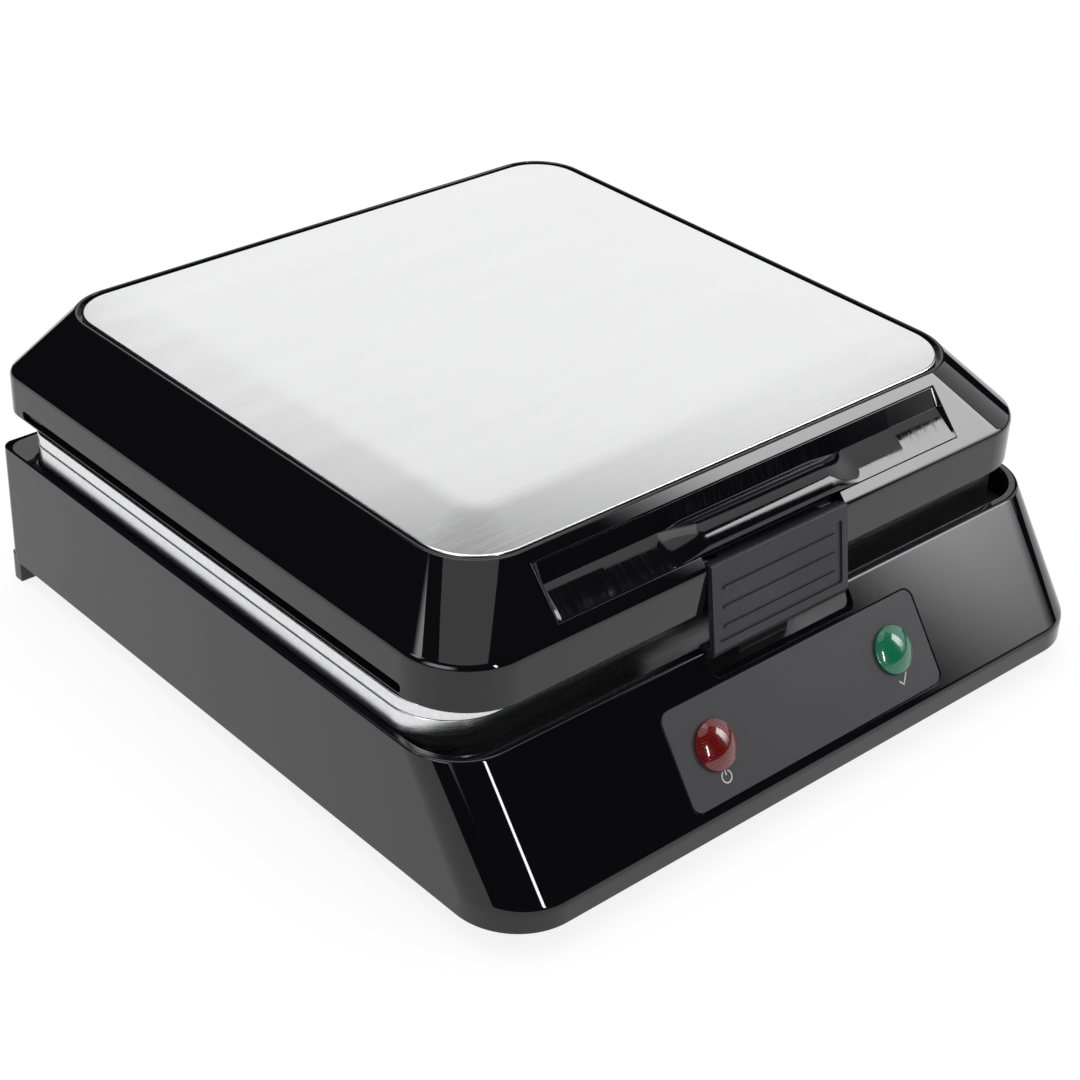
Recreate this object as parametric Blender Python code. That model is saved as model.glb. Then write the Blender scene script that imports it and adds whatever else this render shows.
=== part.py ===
"""A contact grill: a countertop cooker whose lid is hinged at the rear.

Metres, +Z up, the front faces -Y. The origin lies on the table under the middle of the
box that holds the closed grill. The lid's pieces hang on an empty on the hinge axis, and
the latch hangs on an empty on its own pin's axis.
"""
import math
from collections import namedtuple

import bmesh
import bpy
from mathutils import Vector

MM = 0.001

# Clearances
SEAT_GAP = 0.3 * MM
SIDE_GAP = 0.4 * MM
RUNNING_GAP = 0.3 * MM
OVERRUN = 2.0 * MM
LEAST_RADIUS = 0.6 * MM

# Base shell
BASE_WIDTH = 291.0 * MM
BASE_FRONT = -149.0 * MM
BASE_REAR = 145.5 * MM
BASE_TOP = 59.0 * MM
SHELL_LIFT = 8.4 * MM
SKIRT_HEIGHT = 8.4 * MM
SLOPE_RUN = 30.0 * MM
BASE_WALL = 2.5 * MM
BASE_FRONT_RADIUS = 25.0 * MM
BASE_TOP_RADIUS = 23.0 * MM
BASE_REAR_RADIUS = 5.0 * MM
LEDGE_SIDE = 3.1 * MM
LEDGE_FRONT = 3.2 * MM
LEDGE_REAR = 15.4 * MM
LEG_LENGTH = 7.0 * MM
LEG_GROUND_GAP = 0.4 * MM
LEG_INSET = 0.3 * MM
NOTCH_WIDTH = 70.0 * MM
NOTCH_DEPTH = 8.4 * MM
NOTCH_RADIUS = 3.0 * MM

# Bottom cover and its feet
COVER_LIFT = 1.0 * MM
COVER_THICKNESS = 2.5 * MM
FOOT_RADIUS = 9.0 * MM
FOOT_TAPER = 1.2 * MM
FOOT_INSET_X = 24.0 * MM
FOOT_INSET_Y = 26.0 * MM
VENT_LENGTH = 34.0 * MM
VENT_WIDTH = 3.2 * MM
VENT_PITCH = 9.0 * MM
VENT_COUNT = 6
VENT_ROW_OFFSET = 40.0 * MM

# Screws, one size for all
SCREW_RADIUS = 1.5 * MM
SCREW_HEAD_RADIUS = 2.8 * MM
SCREW_HEAD_HEIGHT = 2.0 * MM
SCREW_LENGTH = 10.0 * MM
LEDGE_SCREW_LENGTH = 6.0 * MM

# Control panel and its two lamps
PANEL_WIDTH = 124.0 * MM
PANEL_HEIGHT = 36.0 * MM
PANEL_TOP_MARGIN = 12.0 * MM
PANEL_RADIUS = 4.0 * MM
PANEL_THICKNESS = 1.2 * MM
LAMP_END_MARGIN = 17.5 * MM
LAMP_DROP = 17.6 * MM
LENS_RADIUS = 8.8 * MM
LENS_BODY_RADIUS = 7.6 * MM
LENS_RISE = 3.6 * MM
LENS_BODY_DEPTH = 8.0 * MM
NEON_RADIUS = 3.0 * MM
NEON_LENGTH = 13.0 * MM
NEON_TIP = 2.6 * MM

# Lower frame, which carries the lower plate and forms the trough in front of it
FRAME_THICKNESS = 2.7 * MM
FRAME_SIDE = 17.0 * MM
FRAME_REAR = 12.0 * MM
TROUGH_WIDTH = 8.2 * MM
POST_RADIUS = 4.0 * MM
POST_INSET = 12.0 * MM
POST_FRONT_SETBACK = 37.0 * MM
POST_REAR_SETBACK = 34.0 * MM
CATCH_WIDTH = 24.0 * MM
CATCH_THICKNESS = 3.2 * MM
CATCH_RISE = 2.5 * MM

# Cooking plates
PLATE_PROUD = 8.0 * MM
PLATE_SINK = 12.0 * MM
PLATE_WALL = 4.0 * MM
PLATE_TUCK = 1.0 * MM
PLATE_EDGE = 2.5 * MM
PLATE_ROUND = 0.8 * MM
RIM_WIDTH = 6.0 * MM
RIM_SLOPE = 3.0 * MM
DISH_DEPTH = 5.5 * MM
PLATE_SKIN = 3.2 * MM
PLATE_FRONT_RADIUS = 22.0 * MM
PLATE_REAR_RADIUS = 10.0 * MM
PLATE_MEETING_GAP = 0.4 * MM
RIB_PITCH = 12.5 * MM
RIB_WIDTH = 4.0 * MM
RIB_TIP = 1.6 * MM
RIB_HEIGHT = 3.0 * MM
RIB_ROOT = 0.5 * MM
RIB_END_MARGIN = 14.0 * MM

# Heating elements, shields and the parts that watch the heat
ELEMENT_RADIUS = 3.0 * MM
ELEMENT_INSET = 34.0 * MM
ELEMENT_BEND = 14.0 * MM
TERMINAL_SPACING = 28.0 * MM
TERMINAL_REACH = 16.0 * MM
SHEET = 0.8 * MM
SHIELD_LAP = 3.0 * MM
SHIELD_DEPTH = 9.0 * MM
SHIELD_REAR_CUT = 10.0 * MM
THERMOSTAT_RADIUS = 9.0 * MM
THERMOSTAT_HEIGHT = 9.0 * MM
THERMOSTAT_CAP = 6.0 * MM
THERMOSTAT_X = 35.0 * MM
FUSE_RADIUS = 2.2 * MM
FUSE_LENGTH = 18.0 * MM
FUSE_X = -35.0 * MM
LEAD_RADIUS = 1.2 * MM
LEAD_BOW = 4.0 * MM
BLOCK_END = 8.0 * MM
BLOCK_DEPTH = 18.0 * MM
BLOCK_HEIGHT = 12.0 * MM
BLOCK_HOLE_RADIUS = 3.0 * MM
BLOCK_HOLE_DEPTH = 5.0 * MM
BLOCK_HOLE_INSET = 2.0 * MM

# Cord gland in the rear wall
GLAND_INSET = 85.5 * MM
GLAND_HEIGHT = 27.0 * MM
GLAND_RADIUS = 5.7 * MM
GLAND_BORE = 3.5 * MM
GLAND_FLANGE = 8.5 * MM
GLAND_FLANGE_DEPTH = 2.7 * MM

# Hinge
HINGE_GAP = 13.6 * MM
HINGE_SETBACK = 3.5 * MM
HINGE_INSET = 62.5 * MM
KNUCKLE_CLEARANCE = 1.75 * MM
ARM_WIDTH = 14.6 * MM
ARM_PLATE = 2.4 * MM
ARM_REACH = 12.2 * MM
ARM_SCREW_SETBACK = 9.2 * MM
EAR_THICKNESS = 5.0 * MM
EAR_CLEARANCE = 1.15 * MM
PAD_THICKNESS = 1.0 * MM
TAB_LENGTH = 9.0 * MM
TAB_THICKNESS = 2.0 * MM
PIN_RADIUS = 2.0 * MM
PIN_OVERHANG = 0.5 * MM
BRACKET_DEPTH = 11.0 * MM
BRACKET_REAR_MARGIN = 0.6 * MM

# Lid shell
LID_STEP_SIDE = 4.0 * MM
LID_STEP_FRONT = 2.8 * MM
LID_REAR = 149.0 * MM
LID_BAND = 16.4 * MM
LID_RISE = 22.3 * MM
LID_WALL = 2.5 * MM
LID_FRONT_RADIUS = 27.0 * MM
LID_REAR_RADIUS = 12.0 * MM
RIM_RUN_SIDE = 20.15 * MM
RIM_RUN_FRONT = 20.3 * MM
RIM_RUN_REAR = 8.6 * MM
RIM_RADIUS = 25.0 * MM
RIM_REAR_RADIUS = 21.0 * MM
RIM_THICKNESS = 1.2 * MM
SEAT_DEPTH = 2.5 * MM
SEAT_WIDTH = 8.0 * MM
SLOT_HEIGHT = 3.4 * MM
SLOT_LIFT = 0.9 * MM
SLOT_FRONT_SETBACK = 26.0 * MM
SLOT_REAR_SETBACK = 16.0 * MM

# Steel plate let into the rim
TOP_GAP = 1.5 * MM
TOP_EDGE = 1.3 * MM
TOP_ROUND = 0.6 * MM
TOP_MARGIN = 24.0 * MM
TOP_PILLOW = 1.3 * MM
TOP_FLAT_RADIUS = 5.0 * MM

# Upper frame
SKIRT_LIFT = 0.4 * MM
SKIRT_WALL = 2.0 * MM
UPPER_FRAME_RISE = 9.8 * MM
UPPER_FRAME_THICKNESS = 2.5 * MM
UPPER_FRAME_SIDE = 19.8 * MM
UPPER_FRAME_FRONT = 20.8 * MM
UPPER_FRAME_REAR = 22.0 * MM
BODY_SETBACK = 4.0 * MM
BODY_REAR_STEP = 2.0 * MM
BOSS_RADIUS = 4.0 * MM
BOSS_INSET = 12.8 * MM
BOSS_TOP = 24.5 * MM
BOSS_FRONT_SETBACK = 34.0 * MM
BOSS_REAR_SETBACK = 44.0 * MM
FLANGE_PROUD = 0.6 * MM
FLANGE_SETBACK = 5.7 * MM

# Handle: an insert in the lid's front slope with a pocket and a swollen lip
HANDLE_LENGTH = 192.0 * MM
HANDLE_HEIGHT = 20.0 * MM
HANDLE_FOOT = 5.4 * MM
HANDLE_DEPTH = 4.4 * MM
POCKET_WALL = 7.2 * MM
POCKET_DEPTH = 2.9 * MM
POCKET_END = 1.6 * MM
POCKET_END_SHARE = 0.6
POCKET_RAMP = 24.4 * MM
LIP_FLAT = 60.0 * MM
LIP_BLEND = 17.0 * MM
LIP_PROUD = 3.4 * MM
LIP_STEPS = 6

# Latch, its pin and its spring
LATCH_WIDTH = 66.0 * MM
LATCH_THICKNESS = 2.4 * MM
LATCH_STAND_OFF = 1.0 * MM
LATCH_TOP_DROP = 2.6 * MM
LATCH_BOTTOM_LIFT = 0.2 * MM
LATCH_LEAN = 4.8 * MM
LATCH_HOOK_DROP = 2.4 * MM
LATCH_HOOK_HEIGHT = 2.5 * MM
LATCH_PIVOT_INSET = 7.3 * MM
LATCH_PIVOT_DROP = 2.9 * MM
BARREL_RADIUS = 2.6 * MM
BARREL_TRIM = 8.0 * MM
NECK_HEIGHT = 7.0 * MM
NECK_ROOT = 0.8 * MM
FIELD_DEPTH = 0.7 * MM
FIELD_SIDE = 2.8 * MM
FIELD_TOP = 5.0 * MM
FIELD_BOTTOM = 3.0 * MM
FIELD_RADIUS = 1.0 * MM
RIDGE_COUNT = 3
RIDGE_PITCH = 7.2 * MM
RIDGE_FIRST = 9.8 * MM
RIDGE_HEIGHT = 0.6 * MM
RIDGE_WIDTH = 1.4 * MM
RIDGE_MARGIN = 5.6 * MM
LATCH_PIN_RADIUS = 1.25 * MM
LUG_THICKNESS = 3.0 * MM
LUG_RADIUS = 2.4 * MM
SPRING_RADIUS = 2.3 * MM

# Roundness
CORNER_STEPS = 6
ROUND_SIDES = 24
PIN_SIDES = 16
SCREW_SIDES = 12
SHARP_ANGLE = math.radians(32)

# Values worked out from the sizes above
BASE_HALF = BASE_WIDTH / 2
HINGE_SPACING = BASE_WIDTH - 2 * HINGE_INSET
GLAND_X = BASE_HALF - GLAND_INSET
BLOCK_HOLE_PITCH = TERMINAL_SPACING / 2 - BLOCK_HOLE_INSET
BLOCK_LENGTH = 2 * (BLOCK_HOLE_PITCH + BLOCK_END)
LAMP_SPACING = PANEL_WIDTH - 2 * LAMP_END_MARGIN
SLOPE_TOP_Y = BASE_FRONT + SLOPE_RUN
CREASE_Z = SHELL_LIFT + SKIRT_HEIGHT
SLOPE_ANGLE = math.atan2(BASE_TOP - CREASE_Z, SLOPE_RUN)
COVER_BOTTOM = SHELL_LIFT + COVER_LIFT
COVER_TOP = COVER_BOTTOM + COVER_THICKNESS
LID_BOTTOM = BASE_TOP + HINGE_GAP
SHOULDER_Z = LID_BOTTOM + LID_BAND
LID_TOP = SHOULDER_Z + LID_RISE
LID_HALF = BASE_HALF - LID_STEP_SIDE
LID_FRONT = SLOPE_TOP_Y + LID_STEP_FRONT
LID_SLOPE_ANGLE = math.atan2(LID_RISE, RIM_RUN_FRONT)
HINGE_Y = BASE_REAR - HINGE_SETBACK
HINGE_Z = BASE_TOP + HINGE_GAP / 2
KNUCKLE_RADIUS = HINGE_GAP / 2 - KNUCKLE_CLEARANCE
EAR_RADIUS = HINGE_GAP / 2 - EAR_CLEARANCE
BORE_RADIUS = PIN_RADIUS + RUNNING_GAP
SCREW_HOLE = SCREW_RADIUS + RUNNING_GAP
LOWER_BOTTOM = BASE_TOP - PLATE_SINK
LOWER_RIM = BASE_TOP + PLATE_PROUD
LOWER_SURFACE = LOWER_RIM - DISH_DEPTH
LOWER_BACK = LOWER_SURFACE - PLATE_SKIN
FRAME_TOP = LOWER_BOTTOM - SEAT_GAP
FRAME_BOTTOM = FRAME_TOP - FRAME_THICKNESS
UPPER_RIM = LOWER_RIM + PLATE_MEETING_GAP
UPPER_SURFACE = UPPER_RIM + DISH_DEPTH
UPPER_BACK = UPPER_SURFACE + PLATE_SKIN
UPPER_FLANGE_TOP = LID_BOTTOM - SEAT_GAP
UPPER_FRAME_TOP = LID_BOTTOM + UPPER_FRAME_RISE
UPPER_FRAME_UNDER = UPPER_FRAME_TOP - UPPER_FRAME_THICKNESS
SKIRT_BOTTOM = LID_BOTTOM + SKIRT_LIFT
LATCH_PIVOT_Y = LID_FRONT + LATCH_PIVOT_INSET
LATCH_PIVOT_Z = SHOULDER_Z - LATCH_PIVOT_DROP

Outline = namedtuple("Outline", "half front rear front_radius rear_radius")
Finish = namedtuple("Finish", "colour roughness metallic")

GLOSS_BLACK = Finish((0.006, 0.006, 0.008), 0.08, 0.0)
SATIN_BLACK = Finish((0.02, 0.02, 0.022), 0.45, 0.0)
PANEL_BLACK = Finish((0.045, 0.042, 0.048), 0.6, 0.0)
LATCH_GREY = Finish((0.034, 0.033, 0.04), 0.55, 0.0)
RUBBER_BLACK = Finish((0.02, 0.02, 0.02), 0.85, 0.0)
BRUSHED_STEEL = Finish((0.78, 0.78, 0.79), 0.3, 1.0)
CAST_ALUMINIUM = Finish((0.75, 0.75, 0.76), 0.25, 1.0)
SHEET_ALUMINIUM = Finish((0.6, 0.6, 0.6), 0.4, 1.0)
PLAIN_STEEL = Finish((0.5, 0.5, 0.5), 0.35, 1.0)
ELEMENT_GREY = Finish((0.16, 0.17, 0.16), 0.5, 0.8)
CERAMIC_WHITE = Finish((0.7, 0.68, 0.62), 0.5, 0.0)
LENS_RED = Finish((0.32, 0.006, 0.006), 0.1, 0.0)
LENS_GREEN = Finish((0.01, 0.3, 0.16), 0.1, 0.0)
NEON_GLASS = Finish((0.8, 0.75, 0.7), 0.1, 0.0)
LEAD_SLEEVE = Finish((0.6, 0.58, 0.52), 0.7, 0.0)


def clear_scene():
    """Takes every object out of the open file."""
    for item in list(bpy.data.objects):
        bpy.data.objects.remove(item, do_unlink=True)


def material_for(name, finish):
    """Makes one Principled material for a piece."""
    material = bpy.data.materials.new(name + "_finish")
    material.use_nodes = True
    shader = material.node_tree.nodes["Principled BSDF"]
    shader.inputs["Base Color"].default_value = (*finish.colour, 1.0)
    shader.inputs["Roughness"].default_value = finish.roughness
    shader.inputs["Metallic"].default_value = finish.metallic
    return material


def add_object(name, data, finish):
    """Links an object for this mesh or curve, with its own material."""
    item = bpy.data.objects.new(name, data)
    bpy.context.collection.objects.link(item)
    item.data.materials.clear()
    item.data.materials.append(material_for(name, finish))
    return item


def mesh_object(name, bm, finish, smooth=True):
    """Turns a bmesh into an object whose faces point out."""
    bmesh.ops.recalc_face_normals(bm, faces=bm.faces)
    mesh = bpy.data.meshes.new(name)
    bm.to_mesh(mesh)
    bm.free()
    if smooth:
        mesh.shade_smooth()
        mesh.set_sharp_from_angle(angle=SHARP_ANGLE)
    return add_object(name, mesh, finish)


def inset(outline, amount):
    """Moves every side of an outline inwards, and its corners with them."""
    return Outline(outline.half - amount, outline.front + amount, outline.rear - amount,
                   max(outline.front_radius - amount, LEAST_RADIUS),
                   max(outline.rear_radius - amount, LEAST_RADIUS))


def ring(outline, height):
    """Gives the points of a rounded rectangle at one height, anticlockwise from above."""
    corners = ((-1, outline.front, 1, outline.front_radius, math.pi),
               (1, outline.front, 1, outline.front_radius, 1.5 * math.pi),
               (1, outline.rear, -1, outline.rear_radius, 0.0),
               (-1, outline.rear, -1, outline.rear_radius, 0.5 * math.pi))
    points = []
    for side, edge, inwards, radius, start in corners:
        for step in range(CORNER_STEPS + 1):
            angle = start + 0.5 * math.pi * step / CORNER_STEPS
            points.append(Vector((side * (outline.half - radius) + radius * math.cos(angle),
                                  edge + inwards * radius + radius * math.sin(angle), height)))
    return points


def loft(name, rings, finish, hollow=False):
    """Skins a row of rings: capped at both ends, or closed on itself when hollow."""
    bm = bmesh.new()
    rows = [[bm.verts.new(point) for point in points] for points in rings]
    pairs = list(zip(rows, rows[1:]))
    if hollow:
        pairs.append((rows[-1], rows[0]))
    else:
        bm.faces.new(rows[0])
        bm.faces.new(rows[-1])
    for low, high in pairs:
        for index, vert in enumerate(low):
            after = (index + 1) % len(low)
            bm.faces.new((vert, low[after], high[after], high[index]))
    return mesh_object(name, bm, finish)


def prism(name, outline, axis, start, end, finish, smooth=True):
    """Extrudes a flat outline along X, Y or Z between two places."""
    def spot(pair, place):
        values = list(pair)
        values.insert("xyz".index(axis), place)
        return Vector(values)
    rings = [[spot(pair, place) for pair in outline] for place in (start, end)]
    bm = bmesh.new()
    rows = [[bm.verts.new(point) for point in points] for points in rings]
    bm.faces.new(rows[0])
    bm.faces.new(rows[1])
    for index in range(len(outline)):
        after = (index + 1) % len(outline)
        bm.faces.new((rows[0][index], rows[0][after], rows[1][after], rows[1][index]))
    return mesh_object(name, bm, finish, smooth)


def block(name, low, high, finish):
    """Makes a plain box between two corners."""
    outline = [(low[0], low[1]), (high[0], low[1]), (high[0], high[1]), (low[0], high[1])]
    return prism(name, outline, "z", low[2], high[2], finish, smooth=False)


def turned(name, profile, sides, finish, bore=False):
    """Turns (radius, height) points about local Z; a bored shape closes on itself."""
    rings = []
    for radius, height in profile:
        rings.append([Vector((radius * math.cos(math.tau * step / sides),
                              radius * math.sin(math.tau * step / sides), height))
                      for step in range(sides)])
    return loft(name, rings, finish, hollow=bore)


def rounded_outline(width, height, radius, centre=(0.0, 0.0), steps=CORNER_STEPS):
    """Gives the points of a rounded rectangle in a plane."""
    points = []
    for corner, (side, rise) in enumerate(((1, 1), (-1, 1), (-1, -1), (1, -1))):
        for step in range(steps + 1):
            angle = 0.5 * math.pi * (corner + step / steps)
            points.append((centre[0] + side * (width / 2 - radius) + radius * math.cos(angle),
                           centre[1] + rise * (height / 2 - radius) + radius * math.sin(angle)))
    return points


def tube(name, points, radius, finish):
    """Makes a round rod along a row of points, with flat ends."""
    curve = bpy.data.curves.new(name, "CURVE")
    curve.dimensions = "3D"
    curve.bevel_depth = radius
    curve.bevel_resolution = 2
    curve.use_fill_caps = True
    spline = curve.splines.new("POLY")
    spline.points.add(len(points) - 1)
    for slot, point in zip(spline.points, points):
        slot.co = (*point, 1.0)
    return add_object(name, curve, finish)


def bent_route(points, radius, steps=5):
    """Rounds the corners of a route of straight runs."""
    route = [Vector(points[0])]
    for before, corner, after in zip(points, points[1:], points[2:]):
        corner = Vector(corner)
        start = corner + (Vector(before) - corner).normalized() * radius
        end = corner + (Vector(after) - corner).normalized() * radius
        for step in range(steps + 1):
            share = step / steps
            first = start.lerp(corner, share)
            route.append(first.lerp(corner.lerp(end, share), share))
    route.append(Vector(points[-1]))
    return route


def combine(target, tool, operation):
    """Joins, or cuts away, a helper shape that stays hidden on its piece."""
    modifier = target.modifiers.new(tool.name, "BOOLEAN")
    modifier.operation = operation
    modifier.object = tool
    modifier.solver = "EXACT"
    tool.hide_render = True
    tool.display_type = "WIRE"
    tool.parent = target
    tool.matrix_parent_inverse = target.matrix_basis.inverted()


def cut(target, tool):
    """Cuts a helper shape out of a piece."""
    combine(target, tool, "DIFFERENCE")


def join(target, tool):
    """Joins a helper shape to a piece."""
    combine(target, tool, "UNION")


def round_cutter(name, radius, low, high, place, turn=(0.0, 0.0, 0.0), sides=PIN_SIDES):
    """Makes a round cutter between two distances along its own turned axis."""
    tool = turned(name, [(radius, low), (radius, high)], sides, PLAIN_STEEL)
    tool.location = place
    tool.rotation_euler = turn
    return tool


ALONG_X = (0.0, 0.5 * math.pi, 0.0)
ALONG_Y = (0.5 * math.pi, 0.0, 0.0)
UPRIGHT = (0.0, 0.0, 0.0)


def base_outline(height, wall=0.0):
    """Gives the base's plan at one height; a wall moves it in square to each face."""
    share = max(0.0, min(1.0, (height - CREASE_Z) / (BASE_TOP - CREASE_Z)))
    lean = wall / math.sin(SLOPE_ANGLE) if share > 0 else wall
    front = BASE_FRONT + share * SLOPE_RUN + lean
    radius = BASE_FRONT_RADIUS + share * (BASE_TOP_RADIUS - BASE_FRONT_RADIUS)
    return Outline(BASE_HALF - wall, front, BASE_REAR - wall,
                   max(radius - wall, LEAST_RADIUS), max(BASE_REAR_RADIUS - wall, LEAST_RADIUS))


def base_opening():
    """Gives the hole in the base's top ledge."""
    return Outline(BASE_HALF - LEDGE_SIDE, SLOPE_TOP_Y + LEDGE_FRONT, BASE_REAR - LEDGE_REAR,
                   BASE_TOP_RADIUS - LEDGE_SIDE, PLATE_REAR_RADIUS)


def lower_plate_outline():
    """Gives the lower plate's rim: it fills the ledge's hole behind the trough."""
    hole = base_opening()
    return Outline(hole.half - SIDE_GAP, hole.front + TROUGH_WIDTH, hole.rear - SIDE_GAP,
                   PLATE_FRONT_RADIUS, PLATE_REAR_RADIUS)


def slope_place(drop, rise=0.0):
    """Gives the (Y, Z) of a point on the base's slope, from its distance below the top edge."""
    return (SLOPE_TOP_Y - drop * math.cos(SLOPE_ANGLE) - rise * math.sin(SLOPE_ANGLE),
            BASE_TOP - drop * math.sin(SLOPE_ANGLE) + rise * math.cos(SLOPE_ANGLE))


def lamp_places():
    """Gives each lamp's name and its centre on the slope."""
    along, up = slope_place(PANEL_TOP_MARGIN + LAMP_DROP)
    return (("power", (-LAMP_SPACING / 2, along, up)), ("ready", (LAMP_SPACING / 2, along, up)))


def leg_outline(side):
    """Gives the plan of a rear leg, whose outer corner follows the shell's."""
    half = BASE_HALF - LEG_INSET
    rear = BASE_REAR - LEG_INSET
    radius = BASE_REAR_RADIUS
    points = [(side * (half - LEG_LENGTH), rear - LEG_LENGTH), (side * half, rear - LEG_LENGTH)]
    for step in range(CORNER_STEPS + 1):
        angle = 0.5 * math.pi * step / CORNER_STEPS
        points.append((side * (half - radius + radius * math.cos(angle)),
                       rear - radius + radius * math.sin(angle)))
    points.append((side * (half - LEG_LENGTH), rear))
    return points


def base_housing():
    """The shell of the base: sloped front, top ledge, notch, lamp holes and rear legs."""
    inner_crease = CREASE_Z + (BASE_WALL - BASE_WALL / math.sin(SLOPE_ANGLE)) * math.tan(SLOPE_ANGLE)
    under = BASE_TOP - BASE_WALL
    hole = base_opening()
    inner_low = base_outline(SHELL_LIFT, BASE_WALL)
    rings = [ring(base_outline(SHELL_LIFT), SHELL_LIFT), ring(base_outline(CREASE_Z), CREASE_Z),
             ring(base_outline(BASE_TOP), BASE_TOP), ring(hole, BASE_TOP), ring(hole, under),
             ring(base_outline(under, BASE_WALL), under), ring(inner_low, inner_crease),
             ring(inner_low, SHELL_LIFT)]
    shell = loft("base_housing", rings, GLOSS_BLACK, hollow=True)
    for side, word in ((-1, "left"), (1, "right")):
        leg = prism("leg_" + word, leg_outline(side), "z", LEG_GROUND_GAP, COVER_BOTTOM - SEAT_GAP,
                    GLOSS_BLACK)
        join(shell, leg)
    top_y, top_z = slope_place(PANEL_TOP_MARGIN + PANEL_HEIGHT / 2)
    recess = rounded_outline(PANEL_WIDTH + 2 * SEAT_GAP, PANEL_HEIGHT + 2 * SEAT_GAP, PANEL_RADIUS)
    pocket = prism("panel_recess", recess, "z", -PANEL_THICKNESS - SEAT_GAP, OVERRUN, GLOSS_BLACK)
    pocket.location = (0.0, top_y, top_z)
    pocket.rotation_euler = (SLOPE_ANGLE, 0.0, 0.0)
    cut(shell, pocket)
    for word, place in lamp_places():
        hole_tool = round_cutter("lamp_hole_" + word, LENS_BODY_RADIUS + RUNNING_GAP,
                                 -BASE_WALL - OVERRUN, OVERRUN, place, (SLOPE_ANGLE, 0.0, 0.0), ROUND_SIDES)
        cut(shell, hole_tool)
    reach = NOTCH_DEPTH + OVERRUN
    notch = rounded_outline(NOTCH_WIDTH, 2 * reach, NOTCH_RADIUS, (0.0, BASE_TOP + reach - NOTCH_DEPTH))
    cut(shell, prism("latch_notch", notch, "y", SLOPE_TOP_Y - SLOPE_RUN / 2, hole.front + OVERRUN,
                     GLOSS_BLACK))
    cut(shell, round_cutter("gland_hole", GLAND_RADIUS + RUNNING_GAP, -OVERRUN, BASE_WALL + OVERRUN,
                            (GLAND_X, BASE_REAR, GLAND_HEIGHT), ALONG_Y, ROUND_SIDES))
    for name, place in ledge_screw_places():
        cut(shell, round_cutter(name + "_hole", SCREW_HOLE, -OVERRUN, BASE_WALL + OVERRUN,
                                (place[0], place[1], under), UPRIGHT, SCREW_SIDES))
    return shell


def foot_places():
    """Gives each foot's name and its centre under the cover."""
    for front, along in (("front", BASE_FRONT + FOOT_INSET_Y), ("rear", BASE_REAR - FOOT_INSET_Y)):
        for side, word in ((-1, "left"), (1, "right")):
            yield f"foot_{front}_{word}", (side * (BASE_HALF - FOOT_INSET_X), along)


def post_places():
    """Gives each cover screw's name and the centre of the post it bites in."""
    for front, along in (("front", SLOPE_TOP_Y + POST_FRONT_SETBACK),
                         ("rear", BASE_REAR - POST_REAR_SETBACK)):
        for side, word in ((-1, "left"), (1, "right")):
            yield f"cover_screw_{front}_{word}", (side * (BASE_HALF - POST_INSET), along)


def bottom_cover():
    """The flat cover that closes the base from below, with two rows of vents."""
    outline = inset(base_outline(SHELL_LIFT, BASE_WALL), SIDE_GAP)
    cover = loft("bottom_cover", [ring(outline, COVER_BOTTOM), ring(outline, COVER_TOP)], SATIN_BLACK)
    for index in range(VENT_COUNT):
        along = (index - (VENT_COUNT - 1) / 2) * VENT_PITCH
        for side, word in ((-1, "left"), (1, "right")):
            centre = (side * VENT_ROW_OFFSET, along)
            slot = rounded_outline(VENT_LENGTH, VENT_WIDTH, VENT_WIDTH / 2 - SEAT_GAP, centre, 2)
            cut(cover, prism(f"vent_{word}_{index}", slot, "z", COVER_BOTTOM - OVERRUN,
                             COVER_TOP + OVERRUN, SATIN_BLACK))
    for name, place in post_places():
        cut(cover, round_cutter(name + "_hole", SCREW_HOLE, COVER_BOTTOM - OVERRUN, COVER_TOP + OVERRUN,
                                (*place, 0.0), UPRIGHT, SCREW_SIDES))
    return cover


def feet():
    """Four rubber feet under the cover."""
    top = COVER_BOTTOM - SEAT_GAP
    profile = [(FOOT_RADIUS - FOOT_TAPER, 0.0), (FOOT_RADIUS, FOOT_TAPER), (FOOT_RADIUS, top)]
    made = []
    for name, place in foot_places():
        foot = turned(name, profile, ROUND_SIDES, RUBBER_BLACK)
        foot.location = (*place, 0.0)
        made.append(foot)
    return made


def screw(name, place, upwards, length):
    """A pan-head screw whose head's seat is at its place."""
    profile = [(SCREW_RADIUS, length), (SCREW_RADIUS, 0.0), (SCREW_HEAD_RADIUS, 0.0),
               (SCREW_HEAD_RADIUS, -SCREW_HEAD_HEIGHT / 2),
               (SCREW_RADIUS, -SCREW_HEAD_HEIGHT)]
    item = turned(name, profile, SCREW_SIDES, PLAIN_STEEL)
    item.location = place
    if not upwards:
        item.rotation_euler = (math.pi, 0.0, 0.0)
    return item


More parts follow.
